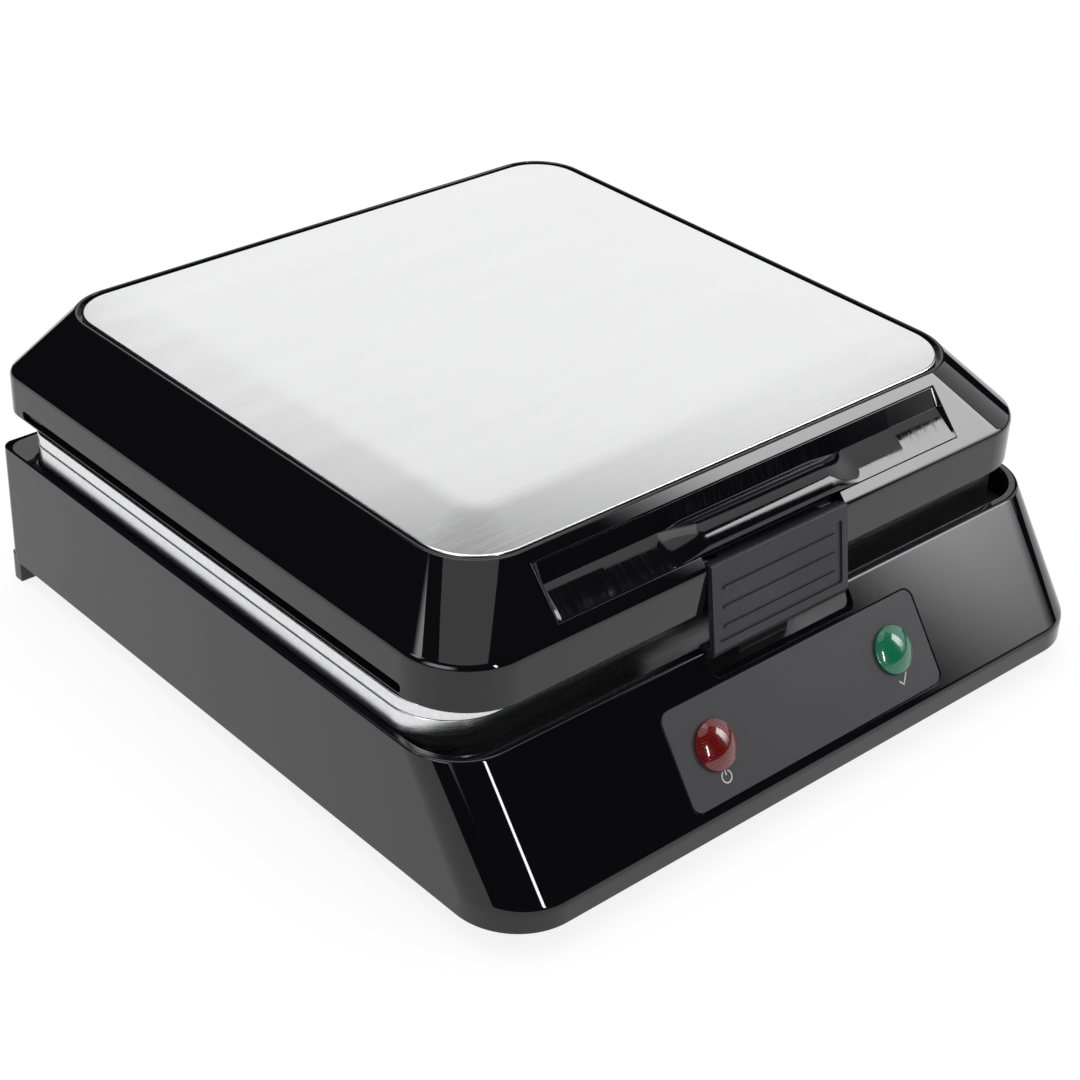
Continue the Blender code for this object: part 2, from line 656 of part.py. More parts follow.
def lower_frame():
    """The ring under the ledge: it carries the plate, floors the trough and holds the posts."""
    hole = base_opening()
    inner = Outline(hole.half - FRAME_SIDE, hole.front + TROUGH_WIDTH + FRAME_SIDE, hole.rear - FRAME_REAR,
                    PLATE_FRONT_RADIUS, PLATE_REAR_RADIUS)
    outer_low = inset(base_outline(FRAME_BOTTOM, BASE_WALL), SIDE_GAP)
    outer_high = inset(base_outline(FRAME_TOP, BASE_WALL), SIDE_GAP)
    frame = loft("lower_frame", [ring(outer_low, FRAME_BOTTOM), ring(outer_high, FRAME_TOP),
                                 ring(inner, FRAME_TOP), ring(inner, FRAME_BOTTOM)], SATIN_BLACK, hollow=True)
    foot = COVER_TOP + SEAT_GAP
    for name, place in post_places():
        join(frame, round_cutter(name + "_post", POST_RADIUS, foot, FRAME_BOTTOM + FRAME_THICKNESS / 2,
                                 (*place, 0.0)))
        cut(frame, round_cutter(name + "_pilot", SCREW_HOLE, foot - OVERRUN, foot + SCREW_LENGTH,
                                (*place, 0.0), UPRIGHT, SCREW_SIDES))
    catch_front = latch_hook_tip() + 2 * SEAT_GAP
    catch = block("catch", (-CATCH_WIDTH / 2, catch_front, FRAME_TOP - FRAME_THICKNESS / 2),
                  (CATCH_WIDTH / 2, catch_front + CATCH_THICKNESS, BASE_TOP + CATCH_RISE), SATIN_BLACK)
    join(frame, catch)
    return frame


def ribs(name, outline, surface, direction):
    """A helper with the plate's ribs: long bars that taper to their tips."""
    field = inset(outline, RIM_WIDTH + RIM_SLOPE)
    count = int((field.half - RIB_WIDTH) / RIB_PITCH)
    start = field.front + RIB_END_MARGIN
    end = field.rear - RIB_END_MARGIN
    root = surface - direction * RIB_ROOT
    tip = surface + direction * RIB_HEIGHT
    bm = bmesh.new()
    for index in range(-count, count + 1):
        centre = index * RIB_PITCH
        profile = [(centre - RIB_WIDTH / 2, root), (centre + RIB_WIDTH / 2, root),
                   (centre + RIB_TIP / 2, tip), (centre - RIB_TIP / 2, tip)]
        rows = [[bm.verts.new((x, along, z)) for x, z in profile] for along in (start, end)]
        bm.faces.new(rows[0])
        bm.faces.new(rows[1])
        for corner in range(len(profile)):
            after = (corner + 1) % len(profile)
            bm.faces.new((rows[0][corner], rows[0][after], rows[1][after], rows[1][corner]))
    return mesh_object(name, bm, CAST_ALUMINIUM, smooth=False)


def lower_cooking_plate():
    """A ribbed casting: a rounded rim, a sunk ribbed field and a hollow back."""
    rim = lower_plate_outline()
    back = inset(rim, PLATE_TUCK + PLATE_WALL)
    rings = [ring(back, LOWER_BACK), ring(back, LOWER_BOTTOM), ring(inset(rim, PLATE_TUCK), LOWER_BOTTOM),
             ring(rim, LOWER_BOTTOM + PLATE_EDGE), ring(rim, LOWER_RIM - PLATE_EDGE),
             ring(inset(rim, PLATE_ROUND), LOWER_RIM - PLATE_ROUND), ring(inset(rim, PLATE_EDGE), LOWER_RIM),
             ring(inset(rim, RIM_WIDTH), LOWER_RIM), ring(inset(rim, RIM_WIDTH + RIM_SLOPE), LOWER_SURFACE)]
    plate = loft("lower_cooking_plate", rings, CAST_ALUMINIUM)
    join(plate, ribs("lower_ribs", rim, LOWER_SURFACE, 1))
    return plate


def heating_element(name, outline, height):
    """A bent tubular heater that lies against the back of a plate."""
    path = inset(outline, ELEMENT_INSET)
    terminal = TERMINAL_SPACING / 2
    points = [(-terminal, path.rear + TERMINAL_REACH, height), (-terminal, path.rear, height),
              (-path.half, path.rear, height), (-path.half, path.front, height),
              (path.half, path.front, height), (path.half, path.rear, height),
              (terminal, path.rear, height), (terminal, path.rear + TERMINAL_REACH, height)]
    bend = min(ELEMENT_BEND, terminal, TERMINAL_REACH - SEAT_GAP)
    return tube(name, bent_route(points, bend), ELEMENT_RADIUS, ELEMENT_GREY)


def element_end(outline):
    """Gives the Y of a heater's two ends."""
    return inset(outline, ELEMENT_INSET).rear + TERMINAL_REACH


def heat_shield(name, outline, seat, direction):
    """A pressed tray that hangs on the frame and turns the heat back to the plate."""
    lip = seat + direction * SHEET
    floor = seat + direction * SHIELD_DEPTH
    wall = inset(outline, SHIELD_LAP + SHEET)
    rings = [ring(inset(wall, SHEET), floor - direction * SHEET), ring(inset(wall, SHEET), seat),
             ring(outline, seat), ring(outline, lip), ring(wall, lip), ring(wall, floor)]
    return loft(name, rings, SHEET_ALUMINIUM)


def lower_shield_outline():
    """Gives the lower shield's flange, which laps the frame's hole."""
    hole = base_opening()
    return Outline(hole.half - FRAME_SIDE + SHIELD_LAP, hole.front + TROUGH_WIDTH + FRAME_SIDE - SHIELD_LAP,
                   hole.rear - FRAME_REAR - SHIELD_REAR_CUT, PLATE_FRONT_RADIUS, PLATE_REAR_RADIUS)


def thermostat():
    """A round bimetal switch against the back of the lower plate."""
    top = LOWER_BACK - SEAT_GAP
    low = top - THERMOSTAT_HEIGHT
    profile = [(THERMOSTAT_CAP, low), (THERMOSTAT_CAP, low + THERMOSTAT_HEIGHT / 2),
               (THERMOSTAT_RADIUS, low + THERMOSTAT_HEIGHT / 2), (THERMOSTAT_RADIUS, top)]
    item = turned("thermostat", profile, ROUND_SIDES, PLAIN_STEEL)
    item.location = (THERMOSTAT_X, 0.0, 0.0)
    return item


def thermal_fuse(name, height):
    """A small round fuse that lies against the back of a plate."""
    half = FUSE_LENGTH / 2
    profile = [(FUSE_RADIUS, -half), (FUSE_RADIUS, half)]
    item = turned(name, profile, SCREW_SIDES, SHEET_ALUMINIUM)
    item.location = (FUSE_X, 0.0, height)
    item.rotation_euler = ALONG_X
    return item


def block_front():
    """Gives the Y of the terminal block's front, under the lower heater's ends."""
    return element_end(lower_plate_outline()) + SEAT_GAP + LEAD_BOW - BLOCK_DEPTH / 2


def terminal_block():
    """A ceramic block on the cover, with three wire holes in its top."""
    front = block_front()
    low = COVER_TOP + SEAT_GAP
    body = block("terminal_block", (-BLOCK_LENGTH / 2, front, low),
                 (BLOCK_LENGTH / 2, front + BLOCK_DEPTH, low + BLOCK_HEIGHT), CERAMIC_WHITE)
    for index in (-1, 0, 1):
        cut(body, round_cutter(f"wire_hole_{index + 1}", BLOCK_HOLE_RADIUS,
                               low + BLOCK_HEIGHT - BLOCK_HOLE_DEPTH, low + BLOCK_HEIGHT + OVERRUN,
                               (index * BLOCK_HOLE_PITCH, front + BLOCK_DEPTH / 2, 0.0)))
    return body


def lower_leads():
    """Two sleeved leads from the block up to the lower heater's ends."""
    end_y = element_end(lower_plate_outline())
    height = LOWER_BACK - SEAT_GAP - ELEMENT_RADIUS
    block_top = COVER_TOP + SEAT_GAP + BLOCK_HEIGHT
    made = []
    for side, word in ((-1, "live"), (1, "neutral")):
        x = side * BLOCK_HOLE_PITCH
        far = end_y + SEAT_GAP + LEAD_BOW
        points = [(x, far, block_top - BLOCK_HOLE_DEPTH + SEAT_GAP), (x, far, height),
                  (x, end_y + SEAT_GAP, height)]
        route = bent_route(points, LEAD_BOW - SEAT_GAP)
        made.append(tube("lower_lead_" + word, route, LEAD_RADIUS, LEAD_SLEEVE))
    return made


def control_panel():
    """The matt plate let into the slope, with a hole for each lamp."""
    face = rounded_outline(PANEL_WIDTH, PANEL_HEIGHT, PANEL_RADIUS)
    panel = prism("control_panel", face, "z", -PANEL_THICKNESS, 0.0, PANEL_BLACK)
    along, up = slope_place(PANEL_TOP_MARGIN + PANEL_HEIGHT / 2)
    panel.location = (0.0, along, up)
    panel.rotation_euler = (SLOPE_ANGLE, 0.0, 0.0)
    rise = PANEL_HEIGHT / 2 - LAMP_DROP
    for side, word in ((-1, "power"), (1, "ready")):
        place = (side * LAMP_SPACING / 2, along + rise * math.cos(SLOPE_ANGLE),
                 up + rise * math.sin(SLOPE_ANGLE))
        cut(panel, round_cutter("panel_hole_" + word, LENS_BODY_RADIUS + RUNNING_GAP,
                                -OVERRUN - PANEL_THICKNESS, OVERRUN, place, (SLOPE_ANGLE, 0.0, 0.0),
                                ROUND_SIDES))
    return panel


def lamps():
    """Each lamp: a domed lens through the panel and a neon bulb behind it."""
    dome_shares = ((0.25, 1.0), (0.6, 0.82), (0.85, 0.48), (1.0, 0.16))
    made = []
    for word, place in lamp_places():
        profile = [(share * LENS_RADIUS, SEAT_GAP + rise * (LENS_RISE - SEAT_GAP))
                   for share, rise in dome_shares]
        profile += [(LENS_RADIUS, SEAT_GAP), (LENS_BODY_RADIUS, SEAT_GAP),
                    (LENS_BODY_RADIUS, -LENS_BODY_DEPTH)]
        lens = turned(word + "_lens", profile, ROUND_SIDES, LENS_RED if word == "power" else LENS_GREEN)
        behind = -LENS_BODY_DEPTH - SEAT_GAP
        bulb = [(NEON_RADIUS, behind), (NEON_RADIUS, behind - NEON_LENGTH + NEON_TIP),
                (NEON_RADIUS / 2, behind - NEON_LENGTH)]
        neon = turned(word + "_neon_lamp", bulb, SCREW_SIDES, NEON_GLASS)
        for item in (lens, neon):
            item.location = place
            item.rotation_euler = (SLOPE_ANGLE, 0.0, 0.0)
            made.append(item)
    return made


def cord_gland():
    """A bored bush in the rear wall."""
    inner = -BASE_WALL - GLAND_FLANGE_DEPTH
    profile = [(GLAND_BORE, GLAND_FLANGE_DEPTH), (GLAND_FLANGE - FOOT_TAPER, GLAND_FLANGE_DEPTH),
               (GLAND_FLANGE, SEAT_GAP), (GLAND_RADIUS, SEAT_GAP), (GLAND_RADIUS, inner), (GLAND_BORE, inner)]
    gland = turned("cord_gland", profile, ROUND_SIDES, SATIN_BLACK, bore=True)
    gland.location = (GLAND_X, BASE_REAR, GLAND_HEIGHT)
    gland.rotation_euler = (-0.5 * math.pi, 0.0, 0.0)
    return gland


def hinge_sides():
    """Gives each hinge's name and its middle along X."""
    return (("left", -HINGE_SPACING / 2), ("right", HINGE_SPACING / 2))


def bracket_half():
    """Gives half the distance over a bracket's two ears."""
    return ARM_WIDTH / 2 + RUNNING_GAP + EAR_THICKNESS


def ledge_screw_places():
    """Gives the name and place of each screw that holds a bracket to the ledge."""
    along = BASE_REAR - BRACKET_REAR_MARGIN - BRACKET_DEPTH / 2
    for word, centre in hinge_sides():
        for side, hand in ((-1, "inner"), (1, "outer")):
            away = side if centre > 0 else -side
            yield (f"bracket_screw_{word}_{hand}",
                   (centre + away * (bracket_half() + TAB_LENGTH / 2), along,
                    BASE_TOP + SEAT_GAP + TAB_THICKNESS))


def hinge_bracket(word, centre):
    """A bracket on the rear ledge: a pad, two tabs and two bored ears."""
    low = BASE_TOP + SEAT_GAP
    rear = BASE_REAR - BRACKET_REAR_MARGIN
    half = bracket_half()
    pad = block("hinge_bracket_" + word, (centre - half, rear - BRACKET_DEPTH, low),
                (centre + half, rear, low + PAD_THICKNESS), PLAIN_STEEL)
    for side, hand in ((-1, "a"), (1, "b")):
        edge = centre + side * half
        tab = block(f"bracket_tab_{word}_{hand}",
                    (min(edge - side * PAD_THICKNESS, edge + side * TAB_LENGTH), rear - BRACKET_DEPTH, low),
                    (max(edge - side * PAD_THICKNESS, edge + side * TAB_LENGTH), rear, low + TAB_THICKNESS),
                    PLAIN_STEEL)
        join(pad, tab)
        ear_outline = [(HINGE_Y + EAR_RADIUS * math.cos(step * math.pi / 8),
                        HINGE_Z + EAR_RADIUS * math.sin(step * math.pi / 8)) for step in range(9)]
        ear_outline += [(HINGE_Y - EAR_RADIUS - PAD_THICKNESS, low), (min(HINGE_Y + EAR_RADIUS, rear), low)]
        inside = centre + side * (half - EAR_THICKNESS)
        ear = prism(f"bracket_ear_{word}_{hand}", ear_outline, "x", min(inside, edge), max(inside, edge),
                    PLAIN_STEEL)
        join(pad, ear)
        place = (edge + side * TAB_LENGTH / 2, rear - BRACKET_DEPTH / 2, low)
        cut(pad, round_cutter(f"bracket_tab_hole_{word}_{hand}", SCREW_HOLE, -OVERRUN,
                              TAB_THICKNESS + OVERRUN, place, UPRIGHT, SCREW_SIDES))
    cut(pad, round_cutter("bracket_bore_" + word, BORE_RADIUS, -half - OVERRUN, half + OVERRUN,
                          (centre, HINGE_Y, HINGE_Z), ALONG_X))
    return pad


def hinge_pin(word, centre):
    """The steel pin through one hinge."""
    half = bracket_half() + PIN_OVERHANG
    pin = turned("hinge_pin_" + word, [(PIN_RADIUS, -half), (PIN_RADIUS, half)], PIN_SIDES, PLAIN_STEEL)
    pin.location = (centre, HINGE_Y, HINGE_Z)
    pin.rotation_euler = ALONG_X
    return pin


def hinge_arm(word, centre):
    """The lid's half of a hinge: a knuckle under a plate that screws to the upper frame."""
    top = SKIRT_BOTTOM - SEAT_GAP
    low = top - ARM_PLATE
    back_share, root_share = 0.85, 1.1
    outline = [(HINGE_Y + KNUCKLE_RADIUS * back_share, top), (HINGE_Y - ARM_REACH, top),
               (HINGE_Y - ARM_REACH, low), (HINGE_Y - KNUCKLE_RADIUS * root_share, low)]
    for step in range(11):
        angle = math.radians(150 + 24 * step)
        outline.append((HINGE_Y + KNUCKLE_RADIUS * math.cos(angle),
                        HINGE_Z + KNUCKLE_RADIUS * math.sin(angle)))
    arm = prism("hinge_arm_" + word, outline, "x", centre - ARM_WIDTH / 2, centre + ARM_WIDTH / 2,
                PLAIN_STEEL)
    cut(arm, round_cutter("arm_bore_" + word, BORE_RADIUS, -ARM_WIDTH, ARM_WIDTH,
                          (centre, HINGE_Y, HINGE_Z), ALONG_X))
    cut(arm, round_cutter("arm_screw_hole_" + word, SCREW_HOLE, low - OVERRUN, top + OVERRUN,
                          (centre, HINGE_Y - ARM_SCREW_SETBACK, 0.0), UPRIGHT, SCREW_SIDES))
    return arm


def lid_outline(height, wall=0.0):
    """Gives the lid's plan at one height; a wall moves it in from every side."""
    share = max(0.0, min(1.0, (height - SHOULDER_Z) / LID_RISE))
    return Outline(LID_HALF - share * RIM_RUN_SIDE - wall, LID_FRONT + share * RIM_RUN_FRONT + wall,
                   LID_REAR - share * RIM_RUN_REAR - wall,
                   LID_FRONT_RADIUS + share * (RIM_RADIUS - LID_FRONT_RADIUS) - wall,
                   LID_REAR_RADIUS + share * (RIM_REAR_RADIUS - LID_REAR_RADIUS) - wall)


def boss_places():
    """Gives each lid screw's name and the centre of its boss."""
    for front, along in (("front", LID_FRONT + BOSS_FRONT_SETBACK), ("rear", LID_REAR - BOSS_REAR_SETBACK)):
        for side, word in ((-1, "left"), (1, "right")):
            yield f"lid_screw_{front}_{word}", (side * (LID_HALF - BOSS_INSET), along)


def handle_window():
    """Gives the hole for the handle, as (X, distance up the slope) points."""
    half = HANDLE_LENGTH / 2 + SEAT_GAP
    low = HANDLE_FOOT - SEAT_GAP
    high = HANDLE_FOOT + HANDLE_HEIGHT + SEAT_GAP
    return [(-half, low), (half, low), (half, high), (-half, high)]


def lid_housing():
    """The lid's shell: upright band, sloped shoulders, thin rim, side slots and front windows."""
    seat = LID_TOP - SEAT_DEPTH
    under = seat - LID_WALL
    rim = lid_outline(LID_TOP)
    well = inset(rim, RIM_THICKNESS)
    hole = inset(well, SEAT_WIDTH)
    rings = [ring(lid_outline(LID_BOTTOM), LID_BOTTOM), ring(lid_outline(SHOULDER_Z), SHOULDER_Z),
             ring(rim, LID_TOP), ring(well, LID_TOP), ring(well, seat), ring(hole, seat), ring(hole, under),
             ring(lid_outline(under, LID_WALL), under), ring(lid_outline(SHOULDER_Z, LID_WALL), SHOULDER_Z),
             ring(lid_outline(LID_BOTTOM, LID_WALL), LID_BOTTOM)]
    shell = loft("lid_housing", rings, GLOSS_BLACK, hollow=True)
    for name, place in boss_places():
        join(shell, round_cutter(name + "_boss", BOSS_RADIUS, UPPER_FRAME_TOP + SEAT_GAP,
                                 LID_BOTTOM + BOSS_TOP, (*place, 0.0)))
        cut(shell, round_cutter(name + "_pilot", SCREW_HOLE, UPPER_FRAME_TOP - OVERRUN,
                                UPPER_FRAME_UNDER + SCREW_LENGTH + OVERRUN, (*place, 0.0), UPRIGHT,
                                SCREW_SIDES))
    window = prism("handle_window", handle_window(), "z", -HANDLE_DEPTH, OVERRUN, GLOSS_BLACK)
    window.location = (0.0, LID_FRONT, SHOULDER_Z)
    window.rotation_euler = (LID_SLOPE_ANGLE, 0.0, 0.0)
    cut(shell, window)
    neck_half = LATCH_WIDTH / 2 + 2 * SIDE_GAP
    neck = block("latch_window", (-neck_half, LID_FRONT - OVERRUN, LATCH_PIVOT_Z - NECK_HEIGHT),
                 (neck_half, LID_FRONT + LID_WALL + OVERRUN, SHOULDER_Z + HANDLE_FOOT), GLOSS_BLACK)
    cut(shell, neck)
    slot_front = LID_FRONT + SLOT_FRONT_SETBACK
    slot_rear = LID_REAR - SLOT_REAR_SETBACK
    slot_z = LID_BOTTOM + SLOT_LIFT + SLOT_HEIGHT / 2
    slot = rounded_outline(slot_rear - slot_front, SLOT_HEIGHT, SLOT_HEIGHT / 2 - SEAT_GAP,
                           ((slot_front + slot_rear) / 2, slot_z), 3)
    for side, word in ((-1, "left"), (1, "right")):
        inside = side * (LID_HALF - LID_WALL - OVERRUN)
        outside = side * (LID_HALF + OVERRUN)
        cut(shell, prism("side_slot_" + word, slot, "x", min(inside, outside), max(inside, outside),
                         GLOSS_BLACK))
    return shell


def steel_top_plate():
    """The brushed plate in the rim: a shallow pillow with sloped margins."""
    edge = inset(lid_outline(LID_TOP), RIM_THICKNESS + TOP_GAP)
    low = LID_TOP - SEAT_DEPTH + SEAT_GAP
    high = low + TOP_EDGE
    middle = inset(edge, TOP_MARGIN)._replace(front_radius=TOP_FLAT_RADIUS, rear_radius=TOP_FLAT_RADIUS)
    rings = [ring(edge, low), ring(edge, high), ring(inset(edge, TOP_ROUND), high + TOP_ROUND),
             ring(middle, high + TOP_ROUND + TOP_PILLOW)]
    return loft("steel_top_plate", rings, BRUSHED_STEEL)


def handle_section(x):
    """Gives the handle's section at one X, as (distance up the slope, distance out) points."""
    inside = HANDLE_LENGTH / 2 - abs(x)
    wall = max(0.0, min(1.0, inside / POCKET_END))
    ramp = max(0.0, min(1.0, (inside - POCKET_END) / POCKET_RAMP))
    ramp = wall * (POCKET_END_SHARE + (1 - POCKET_END_SHARE) * ramp)
    swell = max(0.0, min(1.0, (LIP_FLAT / 2 + LIP_BLEND - abs(x)) / LIP_BLEND))
    swell = swell * swell * (3 - 2 * swell)
    low = HANDLE_FOOT
    high = HANDLE_FOOT + HANDLE_HEIGHT
    foot = high - POCKET_WALL
    span = foot - low
    face_shares = ((1.0, 1.0, -0.1), (0.95, 0.93, 0.42), (0.78, 0.68, 0.86), (0.52, 0.4, 1.0),
                   (0.28, 0.18, 0.86), (0.06, 0.04, 0.4), (0.0, 0.0, 0.0))
    points = [(high, -HANDLE_DEPTH), (high, 0.0)]
    for along, depth, bulge in face_shares:
        points.append((low + along * span, -depth * ramp * POCKET_DEPTH + bulge * swell * LIP_PROUD))
    points.append((low, -HANDLE_DEPTH))
    return points


def lid_handle():
    """The handle insert: a pocket whose floor swells into a lip in the middle, and two lugs."""
    end = HANDLE_LENGTH / 2
    stations = [-end, -end + POCKET_END, -end + POCKET_END + POCKET_RAMP]
    blend_start = LIP_FLAT / 2 + LIP_BLEND
    for step in range(LIP_STEPS + 1):
        stations.append(-blend_start + LIP_BLEND * step / LIP_STEPS)
    stations += [-place for place in reversed(stations)]
    rings = [[Vector((x, along, out)) for along, out in handle_section(x)] for x in stations]
    handle = loft("lid_handle", rings, GLOSS_BLACK)
    handle.location = (0.0, LID_FRONT, SHOULDER_Z)
    handle.rotation_euler = (LID_SLOPE_ANGLE, 0.0, 0.0)
    for side, word in ((-1, "left"), (1, "right")):
        near = side * (LATCH_WIDTH / 2 + 2 * SIDE_GAP)
        far = near + side * LUG_THICKNESS
        outline = [(LATCH_PIVOT_Y + LUG_RADIUS * math.cos(angle),
                    LATCH_PIVOT_Z + LUG_RADIUS * math.sin(angle))
                   for angle in [math.pi * (1 + step / 8) for step in range(9)]]
        root = SHOULDER_Z + HANDLE_FOOT
        outline += [(LATCH_PIVOT_Y + LUG_RADIUS, root), (LATCH_PIVOT_Y - LUG_RADIUS, root)]
        lug = prism("handle_lug_" + word, outline, "x", min(near, far), max(near, far), GLOSS_BLACK)
        join(handle, lug)
        cut(handle, round_cutter("lug_bore_" + word, LATCH_PIN_RADIUS + RUNNING_GAP, -LUG_THICKNESS,
                                 LUG_THICKNESS, ((near + far) / 2, LATCH_PIVOT_Y, LATCH_PIVOT_Z), ALONG_X))
    return handle


def latch_faces():
    """Gives the (Y, Z) ends of the latch's outer face, top first."""
    top = (LID_FRONT - LATCH_STAND_OFF, SHOULDER_Z + HANDLE_FOOT * math.sin(LID_SLOPE_ANGLE) - LATCH_TOP_DROP)
    bottom = (top[0] - LATCH_LEAN, BASE_TOP - LATCH_BOTTOM_LIFT)
    return top, bottom


def latch_hook_tip():
    """Gives the Y of the hook's tip, inside the notch."""
    return latch_faces()[1][0] + LATCH_THICKNESS + LATCH_LEAN


def latch():
    """The latch: a leaning plate with ridges, a hook below and a barrel on its pin."""
    (top_y, top_z), (low_y, low_z) = latch_faces()
    slope = (low_y - top_y) / (low_z - top_z)
    hook_low = low_z - LATCH_HOOK_DROP
    tip = latch_hook_tip()
    neck_low = LATCH_PIVOT_Z - BARREL_RADIUS
    neck_top = top_z + NECK_ROOT / 4
    outline = [(top_y, top_z), (low_y, low_z), (low_y + NECK_ROOT, hook_low), (tip, hook_low),
               (tip, hook_low + LATCH_HOOK_HEIGHT),
               (low_y + LATCH_THICKNESS, hook_low + LATCH_HOOK_HEIGHT + NECK_ROOT),
               (top_y + LATCH_THICKNESS + slope * (neck_low - top_z), neck_low)]
    for step in range(11):
        angle = math.radians(-120 + 22 * step)
        outline.append((LATCH_PIVOT_Y + BARREL_RADIUS * math.cos(angle),
                        LATCH_PIVOT_Z + BARREL_RADIUS * math.sin(angle)))
    outline.append((top_y + LATCH_THICKNESS / 2, neck_top))
    half = LATCH_WIDTH / 2
    body = prism("latch", outline, "x", -half, half, LATCH_GREY)
    trim_low = (LATCH_PIVOT_Y - BARREL_RADIUS - NECK_ROOT, LATCH_PIVOT_Z - BARREL_RADIUS - OVERRUN)
    trim_high = (LATCH_PIVOT_Y + BARREL_RADIUS + OVERRUN, LATCH_PIVOT_Z + BARREL_RADIUS + OVERRUN)
    for side, word in ((-1, "left"), (1, "right")):
        near = side * (half - BARREL_TRIM)
        far = side * (half + OVERRUN)
        cut(body, block("barrel_trim_" + word, (min(near, far), *trim_low),
                        (max(near, far), *trim_high), LATCH_GREY))
    cut(body, round_cutter("latch_bore", LATCH_PIN_RADIUS + RUNNING_GAP, -half - OVERRUN, half + OVERRUN,
                           (0.0, LATCH_PIVOT_Y, LATCH_PIVOT_Z), ALONG_X))
    lean = math.atan2(top_y - low_y, top_z - low_z)
    height = math.hypot(top_y - low_y, top_z - low_z) - FIELD_TOP - FIELD_BOTTOM
    outline = rounded_outline(LATCH_WIDTH - 2 * FIELD_SIDE, height, FIELD_RADIUS,
                              (0.0, -FIELD_TOP - height / 2), 3)
    field = prism("latch_field", outline, "y", -OVERRUN, FIELD_DEPTH, LATCH_GREY)
    cut(body, field)
    bars = [field]
    for index in range(RIDGE_COUNT):
        outline = rounded_outline(LATCH_WIDTH - 2 * RIDGE_MARGIN, RIDGE_WIDTH, RIDGE_WIDTH / 2 - SEAT_GAP / 2,
                                  (0.0, -RIDGE_FIRST - index * RIDGE_PITCH), 2)
        bars.append(prism(f"ridge_{index}", outline, "y", FIELD_DEPTH - RIDGE_HEIGHT, LATCH_THICKNESS / 2,
                          LATCH_GREY))
        join(body, bars[-1])
    for bar in bars:
        bar.location = (0.0, top_y, top_z)
        bar.rotation_euler = (-lean, 0.0, 0.0)
    return body


def latch_pin():
    """The pin that the latch swings on."""
    half = LATCH_WIDTH / 2 + 2 * SIDE_GAP + LUG_THICKNESS
    pin = turned("latch_pin", [(LATCH_PIN_RADIUS, -half), (LATCH_PIN_RADIUS, half)], SCREW_SIDES, PLAIN_STEEL)
    pin.location = (0.0, LATCH_PIVOT_Y, LATCH_PIVOT_Z)
    pin.rotation_euler = ALONG_X
    return pin


def latch_spring():
    """The latch's small torsion spring, wound on the pin beside the barrel."""
    start = LATCH_WIDTH / 2 - BARREL_TRIM + SEAT_GAP
    end = LATCH_WIDTH / 2 + 2 * SIDE_GAP - SEAT_GAP
    bore = LATCH_PIN_RADIUS + RUNNING_GAP
    profile = [(bore, start), (SPRING_RADIUS, start), (SPRING_RADIUS, end), (bore, end)]
    spring = turned("latch_spring", profile, PIN_SIDES, PLAIN_STEEL, bore=True)
    spring.location = (0.0, LATCH_PIVOT_Y, LATCH_PIVOT_Z)
    spring.rotation_euler = ALONG_X
    return spring


def upper_frame_hole():
    """Gives the hole in the upper frame, over the upper plate's back."""
    return Outline(LID_HALF - LID_WALL - UPPER_FRAME_SIDE, LID_FRONT + LID_WALL + UPPER_FRAME_FRONT,
                   LID_REAR - LID_WALL - UPPER_FRAME_REAR, RIM_REAR_RADIUS / 2, RIM_REAR_RADIUS / 2)


def upper_shield_outline():
    """Gives the upper shield's flange; it stops short at the rear, where the leads come up."""
    lap = inset(upper_frame_hole(), -SHIELD_LAP)
    return lap._replace(rear=upper_frame_hole().rear - SHIELD_REAR_CUT)


def upper_skirt_hole():
    """Gives the room inside the upper frame's skirt."""
    skirt = inset(lid_outline(LID_BOTTOM, LID_WALL), SIDE_GAP + SKIRT_WALL)
    return skirt._replace(rear=upper_flange_outline().rear + SIDE_GAP)


def upper_body_outline():
    """Gives the plan of the upper plate's standing wall, inside the frame's skirt."""
    flange = upper_flange_outline()
    room = inset(upper_skirt_hole(), SIDE_GAP)
    return room._replace(front=flange.front + BODY_SETBACK, rear=flange.rear - BODY_REAR_STEP)


def upper_frame():
    """The ring inside the lid: a skirt round the plate, a flange on it and the hinge rail."""
    outer = inset(lid_outline(LID_BOTTOM, LID_WALL), SIDE_GAP)
    skirt = upper_skirt_hole()
    hole = upper_frame_hole()
    rings = [ring(outer, SKIRT_BOTTOM), ring(outer, UPPER_FRAME_TOP), ring(hole, UPPER_FRAME_TOP),
             ring(hole, UPPER_FRAME_UNDER), ring(skirt, UPPER_FRAME_UNDER), ring(skirt, SKIRT_BOTTOM)]
    frame = loft("upper_frame", rings, SATIN_BLACK, hollow=True)
    for name, place in boss_places():
        cut(frame, round_cutter(name + "_way", SCREW_HOLE, UPPER_FRAME_UNDER - OVERRUN,
                                UPPER_FRAME_TOP + OVERRUN, (*place, 0.0), UPRIGHT, SCREW_SIDES))
    for word, centre in hinge_sides():
        cut(frame, round_cutter("arm_pilot_" + word, SCREW_HOLE, SKIRT_BOTTOM - OVERRUN,
                                SKIRT_BOTTOM + SCREW_LENGTH, (centre, HINGE_Y - ARM_SCREW_SETBACK, 0.0),
                                UPRIGHT, SCREW_SIDES))
    return frame


def upper_flange_outline():
    """Gives the upper plate's rim, a little proud of the lid's sides."""
    rear = base_opening().rear - SIDE_GAP
    return Outline(LID_HALF + FLANGE_PROUD, LID_FRONT + FLANGE_SETBACK, rear, PLATE_FRONT_RADIUS + PLATE_EDGE,
                   PLATE_REAR_RADIUS)


